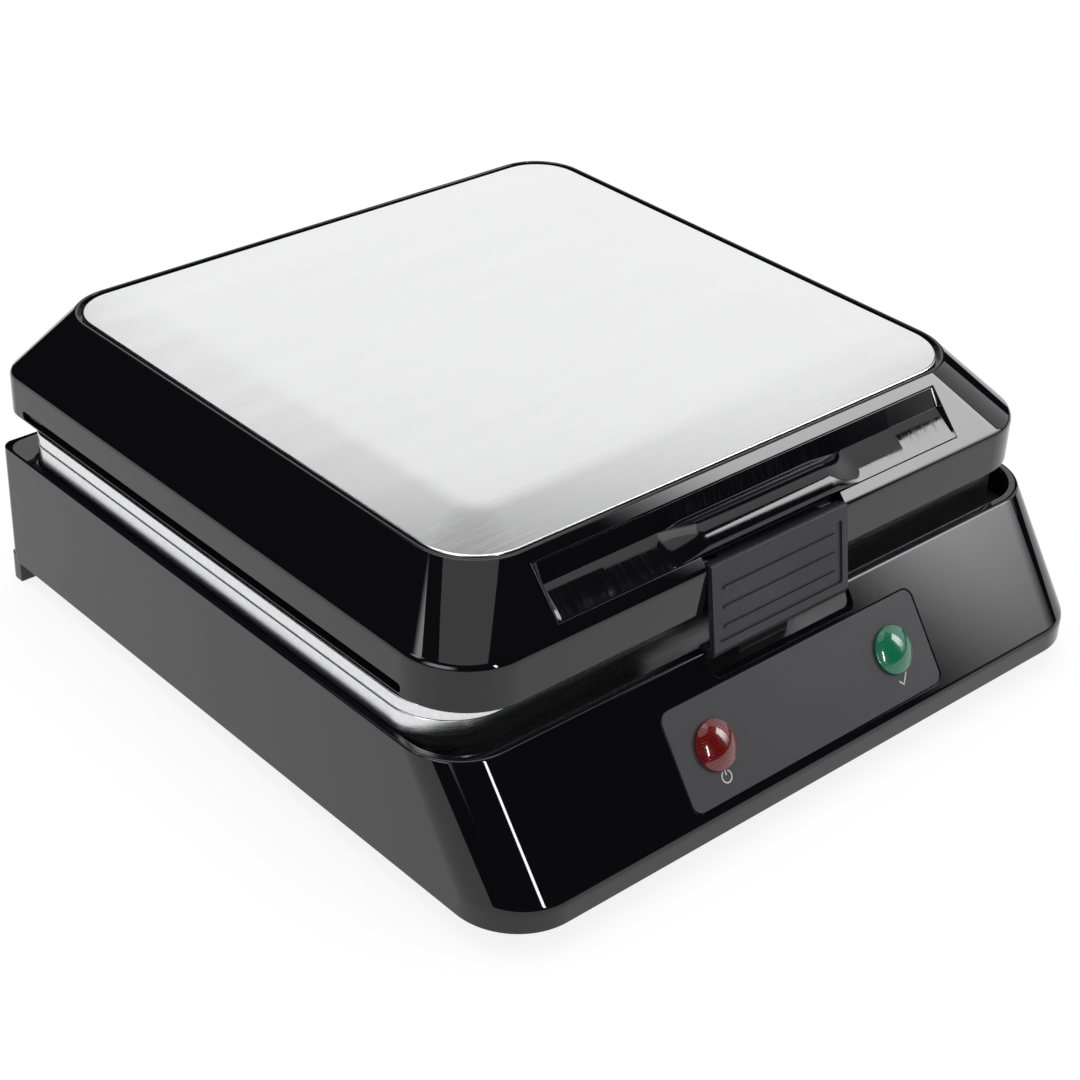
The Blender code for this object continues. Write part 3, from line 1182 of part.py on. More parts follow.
def upper_cooking_plate():
    """The upper casting: its ribbed field faces down and its back is hollow."""
    rim = upper_flange_outline()
    body = upper_body_outline()
    back = inset(body, PLATE_WALL)
    top = UPPER_FRAME_UNDER - SEAT_GAP
    rings = [ring(inset(rim, RIM_WIDTH + RIM_SLOPE), UPPER_SURFACE), ring(inset(rim, RIM_WIDTH), UPPER_RIM),
             ring(inset(rim, PLATE_EDGE), UPPER_RIM),
             ring(inset(rim, PLATE_ROUND / 2), UPPER_RIM + PLATE_ROUND),
             ring(rim, UPPER_RIM + 2 * PLATE_ROUND), ring(rim, UPPER_FLANGE_TOP),
             ring(body, UPPER_FLANGE_TOP), ring(body, top), ring(back, top), ring(back, UPPER_BACK)]
    plate = loft("upper_cooking_plate", rings, CAST_ALUMINIUM)
    join(plate, ribs("upper_ribs", rim, UPPER_SURFACE, -1))
    return plate


def upper_leads():
    """Two sleeved leads from the upper heater's ends to the frame over the hinges."""
    height = UPPER_BACK + SEAT_GAP + ELEMENT_RADIUS
    end_y = element_end(lower_plate_outline())
    run_z = UPPER_FRAME_TOP + SEAT_GAP + LEAD_RADIUS
    made = []
    for side, word in ((-1, "live"), (1, "neutral")):
        x = side * TERMINAL_SPACING / 2
        near = end_y + SEAT_GAP
        bend = near + LEAD_BOW
        away = side * (HINGE_SPACING / 2 - ARM_WIDTH)
        points = [(x, near, height), (x, bend, height), (x, bend, run_z), (away, bend, run_z),
                  (away, HINGE_Y - ARM_REACH, run_z)]
        route = bent_route(points, LEAD_BOW / 2 - SEAT_GAP)
        made.append(tube("upper_lead_" + word, route, LEAD_RADIUS, LEAD_SLEEVE))
    return made


def hang(pivot, pieces):
    """Hangs pieces on an empty without moving them."""
    for piece in pieces:
        piece.parent = pivot
        piece.matrix_parent_inverse = pivot.matrix_world.inverted()


def pivot_empty(name, place):
    """Adds an empty on a joint's axis."""
    pivot = bpy.data.objects.new(name, None)
    bpy.context.collection.objects.link(pivot)
    pivot.location = place
    bpy.context.view_layer.update()
    return pivot


def build_base():
    """Makes every piece that stands still."""
    base_housing()
    bottom_cover()
    feet()
    control_panel()
    lamps()
    lower_frame()
    lower_cooking_plate()
    heating_element("lower_heating_element", lower_plate_outline(), LOWER_BACK - SEAT_GAP - ELEMENT_RADIUS)
    heat_shield("lower_heat_shield", lower_shield_outline(), FRAME_BOTTOM - SEAT_GAP, -1)
    thermostat()
    thermal_fuse("lower_thermal_fuse", LOWER_BACK - SEAT_GAP - FUSE_RADIUS)
    terminal_block()
    lower_leads()
    cord_gland()
    for name, place in post_places():
        screw(name, (*place, COVER_BOTTOM - SEAT_GAP), True, SCREW_LENGTH)
    for word, centre in hinge_sides():
        hinge_bracket(word, centre)
        hinge_pin(word, centre)
    for name, place in ledge_screw_places():
        screw(name, (place[0], place[1], place[2] + SEAT_GAP), False, LEDGE_SCREW_LENGTH)


def build_lid():
    """Makes the lid's pieces and hangs them on the hinge axis."""
    pieces = [lid_housing(), steel_top_plate(), lid_handle(), latch_pin(), latch_spring(), upper_frame(),
              upper_cooking_plate()]
    pieces.append(heating_element("upper_heating_element", lower_plate_outline(),
                                  UPPER_BACK + SEAT_GAP + ELEMENT_RADIUS))
    pieces.append(heat_shield("upper_heat_shield", upper_shield_outline(), UPPER_FRAME_TOP + SEAT_GAP, 1))
    pieces.append(thermal_fuse("upper_thermal_fuse", UPPER_BACK + SEAT_GAP + FUSE_RADIUS))
    pieces += upper_leads()
    for word, centre in hinge_sides():
        pieces.append(hinge_arm(word, centre))
        low = SKIRT_BOTTOM - SEAT_GAP - ARM_PLATE - SEAT_GAP
        place = (centre, HINGE_Y - ARM_SCREW_SETBACK, low)
        pieces.append(screw("arm_screw_" + word, place, True, SCREW_LENGTH))
    for name, place in boss_places():
        pieces.append(screw(name, (*place, UPPER_FRAME_UNDER - SEAT_GAP), True, SCREW_LENGTH))
    lid_axis = pivot_empty("lid_hinge_axis", (0.0, HINGE_Y, HINGE_Z))
    hang(lid_axis, pieces)
    latch_axis = pivot_empty("latch_axis", (0.0, LATCH_PIVOT_Y, LATCH_PIVOT_Z))
    hang(latch_axis, [latch()])
    hang(lid_axis, [latch_axis])


def main():
    """Builds the whole grill, closed."""
    clear_scene()
    build_base()
    build_lid()
    bpy.context.view_layer.update()


main()
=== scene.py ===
"""A contact grill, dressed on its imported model: shells, plates, handle, latch, lamps and studio.

All sizes are in metres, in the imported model's own frame: +Z up, the front faces -Y.
"""

import logging
import math
from dataclasses import dataclass, field, replace
from enum import Enum
from functools import cache
from typing import Iterable, Sequence

import bmesh
import bpy
from mathutils import Matrix, Vector


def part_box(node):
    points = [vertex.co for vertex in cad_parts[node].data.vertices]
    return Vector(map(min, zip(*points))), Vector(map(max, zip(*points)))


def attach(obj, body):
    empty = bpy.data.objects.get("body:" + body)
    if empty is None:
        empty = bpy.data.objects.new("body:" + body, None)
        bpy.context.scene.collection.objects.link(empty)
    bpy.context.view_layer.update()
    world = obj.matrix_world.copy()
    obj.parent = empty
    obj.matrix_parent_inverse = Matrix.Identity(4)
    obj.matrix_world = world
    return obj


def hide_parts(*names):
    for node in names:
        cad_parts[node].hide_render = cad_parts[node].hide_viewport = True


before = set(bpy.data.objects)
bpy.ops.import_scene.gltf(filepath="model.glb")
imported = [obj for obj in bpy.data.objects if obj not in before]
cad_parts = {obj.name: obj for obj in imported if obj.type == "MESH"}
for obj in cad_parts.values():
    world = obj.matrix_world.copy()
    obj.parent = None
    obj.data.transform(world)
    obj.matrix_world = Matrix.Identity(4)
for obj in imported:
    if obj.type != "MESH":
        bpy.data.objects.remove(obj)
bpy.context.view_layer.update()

log = logging.getLogger("contact_grill")
MM = 0.001
OVERRUN = 2.0 * MM  # how far a cutting tool reaches past what it cuts
Point = tuple[float, float]
Colour = tuple[float, float, float]


class Body(Enum):
    """The three bodies of the grill that move against each other."""

    BASE = "base"
    LID = "lid"
    LATCH = "latch"


class Axis(Enum):
    """The axis that an outline is extruded along."""

    X = 0
    Y = 1
    Z = 2


# Shapes

@dataclass(frozen=True)
class Plan:
    """One level of a lofted shell: a rounded rectangle seen from above, and its height."""

    half: float
    front: float
    rear: float
    front_radius: float
    rear_radius: float
    height: float = 0.0

    def inset(self, amount: float) -> "Plan":
        """Moves every side and corner inwards by an amount."""
        return Plan(self.half - amount, self.front + amount, self.rear - amount,
                    max(self.front_radius - amount, 0.6 * MM), max(self.rear_radius - amount, 0.6 * MM),
                    self.height)

    def at(self, height: float) -> "Plan":
        """Gives the same outline at another height."""
        return replace(self, height=height)

    def toward(self, other: "Plan", share: float) -> "Plan":
        """Gives the level that lies a share of the way to another level."""
        mine = (self.half, self.front, self.rear, self.front_radius, self.rear_radius, self.height)
        theirs = (other.half, other.front, other.rear, other.front_radius, other.rear_radius, other.height)
        return Plan(*(a + (b - a) * share for a, b in zip(mine, theirs)))

    def reach(self, other: "Plan") -> float:
        """Gives the longest straight distance between two levels' faces."""
        across = max(abs(self.half - other.half), abs(self.front - other.front))
        return math.hypot(across, self.height - other.height)

    def ring(self, front_steps: int = 22, rear_steps: int = 12) -> list[Vector]:
        """Gives the level's points, anticlockwise from above.

        Args:
            front_steps: facets in each front corner.
            rear_steps: facets in each rear corner.

        Returns:
            The corner points in order, with straight runs between the corners.
        """
        corners = ((-1, self.front, 1, self.front_radius, 2, front_steps),
                   (1, self.front, 1, self.front_radius, 3, front_steps),
                   (1, self.rear, -1, self.rear_radius, 0, rear_steps),
                   (-1, self.rear, -1, self.rear_radius, 1, rear_steps))
        points = []
        for side, edge, inwards, radius, quarter, steps in corners:
            for step in range(steps + 1):
                angle = 0.5 * math.pi * (quarter + step / steps)
                points.append(Vector((side * (self.half - radius) + radius * math.cos(angle),
                                      edge + inwards * radius + radius * math.sin(angle), self.height)))
        return points


def eased_levels(levels: Sequence[tuple[Plan, float]], closed: bool, steps: int = 5) -> list[Plan]:
    """Rounds the edges of a shell's profile.

    Args:
        levels: each level with the reach of its rounded edge.
        closed: whether the last level joins the first.
        steps: facets in each rounded edge.

    Returns:
        The levels to skin, with each edge as a row of small facets.
    """
    rows = []
    count = len(levels)
    for index, (level, edge) in enumerate(levels):
        at_end = not closed and index in (0, count - 1)
        if edge <= 0 or at_end:
            rows.append(level)
            continue
        before, after = levels[index - 1][0], levels[(index + 1) % count][0]
        start = level.toward(before, min(0.48, edge / max(level.reach(before), 1e-9)))
        end = level.toward(after, min(0.48, edge / max(level.reach(after), 1e-9)))
        for step in range(steps + 1):
            share = step / steps
            rows.append(start.toward(level, share).toward(level.toward(end, share), share))
    return rows


def eased_outline(corners: Sequence[tuple[float, float, float]], steps: int = 5) -> list[Point]:
    """Rounds the corners of a closed flat outline.

    Args:
        corners: each corner's two coordinates and the reach of its rounding.
        steps: facets in each rounded corner.

    Returns:
        The outline's points.
    """
    points = []
    for index, (x, y, edge) in enumerate(corners):
        corner = Vector((x, y))
        if edge <= 0:
            points.append((x, y))
            continue
        before = Vector(corners[index - 1][:2]) - corner
        after = Vector(corners[(index + 1) % len(corners)][:2]) - corner
        start = corner + before * min(0.48, edge / before.length)
        end = corner + after * min(0.48, edge / after.length)
        for step in range(steps + 1):
            share = step / steps
            spot = start.lerp(corner, share).lerp(corner.lerp(end, share), share)
            points.append((spot.x, spot.y))
    return points


def rounded_outline(width: float, height: float, radius: float, centre: Point = (0.0, 0.0),
                    steps: int = 8) -> list[Point]:
    """Gives a flat rounded rectangle's points about a centre."""
    points = []
    for corner, (side, rise) in enumerate(((1, 1), (-1, 1), (-1, -1), (1, -1))):
        for step in range(steps + 1):
            angle = 0.5 * math.pi * (corner + step / steps)
            points.append((centre[0] + side * (width / 2 - radius) + radius * math.cos(angle),
                           centre[1] + rise * (height / 2 - radius) + radius * math.sin(angle)))
    return points


def piece_from(name: str, bm: bmesh.types.BMesh) -> bpy.types.Object:
    """Turns a bmesh into a linked, smooth-shaded object whose faces point out."""
    bmesh.ops.recalc_face_normals(bm, faces=bm.faces)
    mesh = bpy.data.meshes.new(name)
    bm.to_mesh(mesh)
    bm.free()
    mesh.shade_smooth()
    piece = bpy.data.objects.new(name, mesh)
    bpy.context.scene.collection.objects.link(piece)
    return piece


def add_skin(bm: bmesh.types.BMesh, rings: Sequence[Sequence[Vector]], closed: bool) -> None:
    """Adds faces between rings of points, with a cap at each end unless closed on itself."""
    rows = [[bm.verts.new(point) for point in ring] for ring in rings]
    pairs = list(zip(rows, rows[1:]))
    if closed:
        pairs.append((rows[-1], rows[0]))
    else:
        bm.faces.new(rows[0])
        bm.faces.new(rows[-1])
    for low, high in pairs:
        for index, vert in enumerate(low):
            after = (index + 1) % len(low)
            bm.faces.new((vert, low[after], high[after], high[index]))


def skinned(name: str, rings: Sequence[Sequence[Vector]], closed: bool = False) -> bpy.types.Object:
    """Makes a piece from rings of points."""
    bm = bmesh.new()
    add_skin(bm, rings, closed)
    return piece_from(name, bm)


def lofted(name: str, levels: Sequence[tuple[Plan, float]], closed: bool = False,
           steps: int = 5) -> bpy.types.Object:
    """Makes a shell or a solid from levels with rounded edges."""
    return skinned(name, [level.ring() for level in eased_levels(levels, closed, steps)], closed)


def extrusion_rings(outline: Sequence[Point], axis: Axis, start: float, end: float) -> list[list[Vector]]:
    """Gives a flat outline's two end rings along an axis."""
    rings = []
    for place in (start, end):
        ring = []
        for pair in outline:
            values = list(pair)
            values.insert(axis.value, place)
            ring.append(Vector(values))
        rings.append(ring)
    return rings


def extruded(name: str, outline: Sequence[Point], axis: Axis, start: float, end: float) -> bpy.types.Object:
    """Makes a prism from a flat outline along an axis."""
    return skinned(name, extrusion_rings(outline, axis, start, end))


def turned_rings(profile: Sequence[Point], sides: int, place: Matrix) -> list[list[Vector]]:
    """Gives the rings of a turned shape about a placed Z axis."""
    return [[place @ Vector((radius * math.cos(math.tau * step / sides),
                             radius * math.sin(math.tau * step / sides), height))
             for step in range(sides)] for radius, height in profile]


def turned(name: str, profile: Sequence[Point], sides: int = 64, closed: bool = False,
           place: Matrix = Matrix.Identity(4)) -> bpy.types.Object:
    """Makes a turned piece from (radius, height) points about a placed Z axis."""
    return skinned(name, turned_rings(profile, sides, place), closed)


def cut_away(piece: bpy.types.Object, cutters: Iterable[bpy.types.Object]) -> None:
    """Cuts shapes out of a piece, keeps the result as its mesh and removes the cutters."""
    cutters = list(cutters)
    for cutter in cutters:
        modifier = piece.modifiers.new(cutter.name, "BOOLEAN")
        modifier.operation = "DIFFERENCE"
        modifier.solver = "EXACT"
        modifier.object = cutter
    graph = bpy.context.evaluated_depsgraph_get()
    mesh = bpy.data.meshes.new_from_object(piece.evaluated_get(graph))
    piece.modifiers.clear()
    old = piece.data
    piece.data = mesh
    bpy.data.meshes.remove(old)
    for cutter in cutters:
        bpy.data.objects.remove(cutter)


def soften(piece: bpy.types.Object, width: float, low: Sequence[float] = (-1.0, -1.0, -1.0),
           high: Sequence[float] = (1.0, 1.0, 1.0), steps: int = 3, angle: float = 34.0) -> None:
    """Bevels a piece's sharp edges inside a box.

    Args:
        piece: the object to change.
        width: the bevel's width.
        low: the box's lowest corner.
        high: the box's highest corner.
        steps: facets in the bevel.
        angle: the least angle, in degrees, of an edge that is bevelled.
    """
    bm = bmesh.new()
    bm.from_mesh(piece.data)
    chosen = []
    for edge in bm.edges:
        if len(edge.link_faces) != 2 or edge.calc_face_angle(0.0) < math.radians(angle):
            continue
        middle = (edge.verts[0].co + edge.verts[1].co) / 2
        if all(a <= value <= b for a, value, b in zip(low, middle, high)):
            chosen.append(edge)
    bmesh.ops.bevel(bm, geom=chosen, offset=width, segments=steps, profile=0.6, affect="EDGES",
                    clamp_overlap=True)
    bm.to_mesh(piece.data)
    bm.free()


def settle(piece: bpy.types.Object, angle: float = 32.0) -> None:
    """Shades a piece smooth between its sharp edges, with flats that stay flat."""
    piece.data.shade_smooth()
    piece.data.set_sharp_from_angle(angle=math.radians(angle))
    modifier = piece.modifiers.new("even_normals", "WEIGHTED_NORMAL")
    modifier.mode = "FACE_AREA"
    modifier.weight = 60
    modifier.keep_sharp = True


def refined(node: str, width: float) -> bpy.types.Object:
    """Makes a piece in a node's shape with broken edges, which stands for the node."""
    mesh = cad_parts[node].data.copy()
    bm = bmesh.new()
    bm.from_mesh(mesh)
    bmesh.ops.remove_doubles(bm, verts=bm.verts, dist=1e-6)
    bmesh.ops.dissolve_limit(bm, angle_limit=math.radians(0.5), verts=bm.verts, edges=bm.edges)
    bpy.data.meshes.remove(mesh)
    piece = piece_from(node + "_finished", bm)
    if width > 0:
        soften(piece, width, steps=2, angle=30.0)
    settle(piece)
    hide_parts(node)
    return piece


# Finishes

class NodeBench:
    """Builds one node material, a few calls for each."""

    def __init__(self, name: str) -> None:
        """Starts an empty Principled material."""
        self.material = bpy.data.materials.new(name)
        self.material.use_nodes = True
        self.tree = self.material.node_tree
        self.shader = self.tree.nodes["Principled BSDF"]
        self.coordinates = self.tree.nodes.new("ShaderNodeTexCoord").outputs["Object"]

    def socket(self, name: str, value: object) -> None:
        """Sets a constant on the shader's own socket."""
        self.shader.inputs[name].default_value = value

    def feed(self, name: str, source: bpy.types.NodeSocket) -> None:
        """Links a pattern to the shader."""
        self.tree.links.new(source, self.shader.inputs[name])

    def stretched(self, scale: Sequence[float],
                  turn: Sequence[float] = (0.0, 0.0, 0.0)) -> bpy.types.NodeSocket:
        """Gives the object's coordinates, scaled along each axis."""
        node = self.tree.nodes.new("ShaderNodeMapping")
        node.inputs["Scale"].default_value = scale
        node.inputs["Rotation"].default_value = turn
        self.tree.links.new(self.coordinates, node.inputs["Vector"])
        return node.outputs["Vector"]

    def noise(self, scale: float, detail: float = 3.0, vector: bpy.types.NodeSocket | None = None,
              roughness: float = 0.5) -> bpy.types.NodeSocket:
        """Gives a noise pattern in metres of the object, from 0 to 1."""
        node = self.tree.nodes.new("ShaderNodeTexNoise")
        node.inputs["Scale"].default_value = scale
        node.inputs["Detail"].default_value = detail
        node.inputs["Roughness"].default_value = roughness
        self.tree.links.new(vector or self.coordinates, node.inputs["Vector"])
        return node.outputs["Fac"]

    def wave(self, scale: float, direction: str, distortion: float = 0.0) -> bpy.types.NodeSocket:
        """Gives straight bands across one axis, from 0 to 1."""
        node = self.tree.nodes.new("ShaderNodeTexWave")
        node.bands_direction = direction
        node.inputs["Scale"].default_value = scale
        node.inputs["Distortion"].default_value = distortion
        self.tree.links.new(self.coordinates, node.inputs["Vector"])
        return node.outputs["Fac"]

    def spread(self, source: bpy.types.NodeSocket, low: float, high: float, start: float = 0.3,
               end: float = 0.7) -> bpy.types.NodeSocket:
        """Maps a pattern from one range to another."""
        node = self.tree.nodes.new("ShaderNodeMapRange")
        for name, value in (("From Min", start), ("From Max", end), ("To Min", low), ("To Max", high)):
            node.inputs[name].default_value = value
        self.tree.links.new(source, node.inputs["Value"])
        return node.outputs["Result"]

    def tint(self, source: bpy.types.NodeSocket, dark: Colour, light: Colour) -> bpy.types.NodeSocket:
        """Mixes two colours by a pattern."""
        node = self.tree.nodes.new("ShaderNodeMix")
        node.data_type = "RGBA"
        node.inputs["A"].default_value = (*dark, 1.0)
        node.inputs["B"].default_value = (*light, 1.0)
        self.tree.links.new(source, node.inputs["Factor"])
        return node.outputs["Result"]

    def bump(self, source: bpy.types.NodeSocket, depth: float, strength: float = 1.0) -> bpy.types.NodeSocket:
        """Turns a pattern into a surface relief of a depth."""
        node = self.tree.nodes.new("ShaderNodeBump")
        node.inputs["Strength"].default_value = strength
        node.inputs["Distance"].default_value = depth
        self.tree.links.new(source, node.inputs["Height"])
        return node.outputs["Normal"]


@dataclass(frozen=True)
class Finish:
    """A finish that pieces take, with the record's slot that it belongs to."""

    name: str
    slot: str
    colour: Colour
    roughness: float

    def shades(self, amount: float) -> tuple[Colour, Colour]:
        """Gives the finish's colour a little darker and a little lighter."""
        dark = tuple(value * (1 - amount) for value in self.colour)
        light = tuple(min(1.0, value * (1 + amount)) for value in self.colour)
        return dark, light

    def dress(self, bench: NodeBench) -> None:
        """Adds the finish's patterns to its material."""
        raise NotImplementedError

    @cache
    def material(self) -> bpy.types.Material:
        """Builds the finish's material once."""
        bench = NodeBench(self.name)
        bench.socket("Base Color", (*self.colour, 1.0))
        bench.socket("Roughness", self.roughness)
        self.dress(bench)
        return bench.material

    def on(self, piece: bpy.types.Object) -> bpy.types.Object:
        """Puts the finish on a new piece."""
        piece.data.materials.clear()
        piece.data.materials.append(self.material())
        return piece

    def on_node(self, node: str) -> None:
        """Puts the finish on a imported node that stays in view."""
        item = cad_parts[node]
        for holder in item.material_slots:
            holder.material = self.material()


@dataclass(frozen=True)
class GlossMoulding(Finish):
    """High-gloss moulded plastic: deep black under a clear skin, with faint wiping marks."""

    scuffs: float = 0.0

    def dress(self, bench: NodeBench) -> None:
        """Adds the clear skin, its slight waviness and any scuffs."""
        bench.socket("Specular IOR Level", 0.0)
        bench.socket("Coat Weight", 1.0)
        bench.socket("Coat IOR", 1.5)
        haze = bench.noise(26.0, 4.0)
        if self.scuffs > 0:
            haze = bench.noise(1.0, 5.0, bench.stretched((900.0, 60.0, 60.0)), 0.65)
        bench.feed("Coat Roughness", bench.spread(haze, 0.3 * self.roughness, self.roughness + self.scuffs))
        relief = bench.bump(bench.noise(55.0, 2.0), 0.02 * MM, 0.6)
        bench.feed("Normal", relief)
        bench.feed("Coat Normal", relief)


@dataclass(frozen=True)
class GrainedMoulding(Finish):
    """Moulded plastic or rubber with a fine spark-eroded grain."""

    grain: float = 1600.0
    depth: float = 0.03 * MM

    def dress(self, bench: NodeBench) -> None:
        """Adds the grain to the colour, the roughness and the relief."""
        grain = bench.noise(self.grain, 3.0)
        broad = bench.noise(40.0, 3.0)
        dark, light = self.shades(0.12)
        bench.feed("Base Color", bench.tint(bench.spread(grain, 0.0, 1.0), dark, light))
        bench.feed("Roughness", bench.spread(broad, self.roughness - 0.05, self.roughness + 0.05))
        bench.feed("Normal", bench.bump(grain, self.depth))


@dataclass(frozen=True)
class BrushedSheet(Finish):
    """Stainless sheet brushed in one direction."""

    def dress(self, bench: NodeBench) -> None:
        """Adds the brushing as fine streaks along X."""
        bench.socket("Metallic", 1.0)
        streaks = bench.noise(1.0, 4.0, bench.stretched((14.0, 3800.0, 3800.0)), 0.6)
        broad = bench.noise(1.0, 2.0, bench.stretched((3.0, 60.0, 60.0)))
        dark, light = self.shades(0.018)
        bench.feed("Base Color", bench.tint(bench.spread(streaks, 0.0, 1.0), dark, light))
        mixed = bench.tree.nodes.new("ShaderNodeMath")
        mixed.operation = "ADD"
        sheen = bench.spread(streaks, self.roughness - 0.05, self.roughness + 0.05)
        bench.tree.links.new(sheen, mixed.inputs[0])
        bench.tree.links.new(bench.spread(broad, -0.02, 0.02), mixed.inputs[1])
        bench.feed("Roughness", mixed.outputs[0])
        bench.feed("Normal", bench.bump(streaks, 0.0015 * MM))


@dataclass(frozen=True)
class MachinedCasting(Finish):
    """Cast aluminium with machined faces: fine level tool lines on a slight casting grain."""

    def dress(self, bench: NodeBench) -> None:
        """Adds tool lines that run level round the rim, and the casting's grain."""
        bench.socket("Metallic", 1.0)
        lines = bench.noise(1.0, 3.0, bench.stretched((14.0, 14.0, 6000.0)), 0.6)
        grain = bench.noise(700.0, 3.0)
        dark, light = self.shades(0.06)
        bench.feed("Base Color", bench.tint(bench.spread(grain, 0.0, 1.0), dark, light))
        bench.feed("Roughness", bench.spread(lines, self.roughness - 0.03, self.roughness + 0.04))
        bench.feed("Normal", bench.bump(lines, 0.001 * MM))


@dataclass(frozen=True)
class PlainMetal(Finish):
    """Plated or pressed metal with a mottled sheen."""

    stain: Colour = (0.5, 0.5, 0.5)
    mottle: float = 220.0

    def dress(self, bench: NodeBench) -> None:
        """Adds the mottling in colour and sheen."""
        bench.socket("Metallic", 0.95)
        mottle = bench.noise(self.mottle, 4.0, roughness=0.6)
        broad = bench.noise(35.0, 3.0)
        bench.feed("Base Color", bench.tint(bench.spread(broad, 0.0, 1.0), self.stain, self.colour))
        bench.feed("Roughness", bench.spread(mottle, self.roughness - 0.07, self.roughness + 0.1))
        bench.feed("Normal", bench.bump(mottle, 0.008 * MM))


@dataclass(frozen=True)
class SpeckledCeramic(Finish):
    """Unglazed white ceramic with fine specks."""

    def dress(self, bench: NodeBench) -> None:
        """Adds the specks and a chalky relief."""
        specks = bench.noise(900.0, 2.0)
        dark, light = self.shades(0.1)
        bench.feed("Base Color", bench.tint(bench.spread(specks, 0.0, 1.0), dark, light))
        bench.feed("Normal", bench.bump(specks, 0.02 * MM))


@dataclass(frozen=True)
class WovenSleeve(Finish):
    """A woven glass sleeve over a lead."""

    def dress(self, bench: NodeBench) -> None:
        """Adds the weave as two crossing sets of bands."""
        first = bench.wave(420.0, "DIAGONAL")
        second = bench.wave(520.0, "Z", 1.5)
        both = bench.tree.nodes.new("ShaderNodeMath")
        both.operation = "MULTIPLY"
        bench.tree.links.new(first, both.inputs[0])
        bench.tree.links.new(second, both.inputs[1])
        dark, light = self.shades(0.25)
        bench.feed("Base Color", bench.tint(both.outputs[0], dark, light))
        bench.feed("Normal", bench.bump(both.outputs[0], 0.12 * MM))


@dataclass(frozen=True)
class LensPlastic(Finish):
    """Coloured lamp plastic: ribs moulded inside, a smooth domed face outside, with painted light and shade
    along the ribs.
    """

    rib_pitch: float = 0.9 * MM
    # the lighter colour of the painted glow along the ribs, standing in for light through the lens
    glow: Colour = (0.3, 0.3, 0.3)

    def dress(self, bench: NodeBench) -> None:
        """Adds the ribs under a clear, smooth face, and paints their light and shade into the colour: painted
        shade in the troughs, a painted glow on the ribs.
        """
        ribs = bench.wave(0.3142 / self.rib_pitch, "Y")
        cloud = bench.noise(160.0, 2.0)
        dark, _ = self.shades(0.45)
        # painted light and shade: the colour runs from a darker painted shade to the painted glow across each
        # rib
        bench.feed("Base Color", bench.tint(bench.spread(ribs, 0.0, 1.0, 0.2, 0.8), dark, self.glow))
        bench.feed("Roughness", bench.spread(cloud, 0.2, 0.35))
        bench.feed("Normal", bench.bump(ribs, 0.03 * MM))
        bench.socket("Specular IOR Level", 0.15)
        bench.socket("Coat Weight", 1.0)
        bench.socket("Coat Roughness", 0.02)
        bench.socket("Coat IOR", 1.55)


@dataclass(frozen=True)
class LampGlass(Finish):
    """The clear glass of a small neon lamp."""

    def dress(self, bench: NodeBench) -> None:
        """Lets light through, with a faint ripple in the glass."""
        bench.socket("Transmission Weight", 0.9)
        bench.feed("Normal", bench.bump(bench.noise(300.0), 0.02 * MM))


@dataclass(frozen=True)
class PrintedInk(Finish):
    """White ink printed on the panel."""

    def dress(self, bench: NodeBench) -> None:
        """Adds the print's slightly uneven cover."""
        cover = bench.noise(1800.0, 3.0)
        dark, light = self.shades(0.12)
        bench.feed("Base Color", bench.tint(bench.spread(cover, 0.0, 1.0), dark, light))


SHELL_BLACK = GlossMoulding("gloss_black_shell_skin", "gloss_black_shell", (0.006, 0.006, 0.008), 0.03)
HANDLE_BLACK = GlossMoulding("handled_gloss_black", "gloss_black_shell", (0.006, 0.006, 0.008), 0.03, 0.1)
FRAME_BLACK = GrainedMoulding("satin_black_moulding", "satin_black", (0.02, 0.02, 0.022), 0.42)
PANEL_GRAIN = GrainedMoulding("panel_grain", "panel_black", (0.045, 0.042, 0.048), 0.52, 2400.0, 0.035 * MM)
LATCH_SATIN = GrainedMoulding("latch_satin", "latch_grey", (0.02, 0.019, 0.024), 0.44, 2000.0, 0.02 * MM)
FOOT_RUBBER = GrainedMoulding("foot_rubber_skin", "foot_rubber", (0.02, 0.02, 0.02), 0.8, 500.0, 0.06 * MM)
TOP_STEEL = BrushedSheet("brushed_top_sheet", "brushed_top", (0.87, 0.87, 0.875), 0.22)
PLATE_METAL = MachinedCasting("machined_plate_casting", "cast_plate", (0.76, 0.76, 0.77), 0.24)
SHIELD_SHEET = PlainMetal("pressed_shield_sheet", "sheet_aluminium", (0.62, 0.62, 0.62), 0.38,
                          (0.54, 0.54, 0.55))
ZINC_STEEL = PlainMetal("zinc_plated_steel", "plain_steel", (0.56, 0.57, 0.58), 0.3,
                        (0.46, 0.46, 0.47), 500.0)
HEATER_SHEATH = PlainMetal("heat_stained_sheath", "element_sheath", (0.17, 0.18, 0.17), 0.5,
                           (0.12, 0.085, 0.06))
TERMINAL_WHITE = SpeckledCeramic("terminal_ceramic_body", "terminal_ceramic", (0.7, 0.68, 0.62), 0.55)
LEAD_WEAVE = WovenSleeve("lead_sleeve_weave", "lead_sleeve", (0.6, 0.58, 0.52), 0.75)
# the last colour of each lens is its painted rib glow, lighter than the lens's own colour
POWER_RED = LensPlastic("power_lens_red", "red_lens", (0.17, 0.002, 0.003), 0.2, 0.9 * MM,
                        (0.3, 0.004, 0.005))
READY_GREEN = LensPlastic("ready_lens_green", "green_lens", (0.003, 0.2, 0.1), 0.2, 0.7 * MM,
                          (0.01, 0.34, 0.18))
NEON_GLASS = LampGlass("neon_lamp_glass", "lamp_glass", (0.8, 0.75, 0.7), 0.1)
PANEL_INK = PrintedInk("panel_ink_white", "panel_black", (0.78, 0.78, 0.78), 0.45)


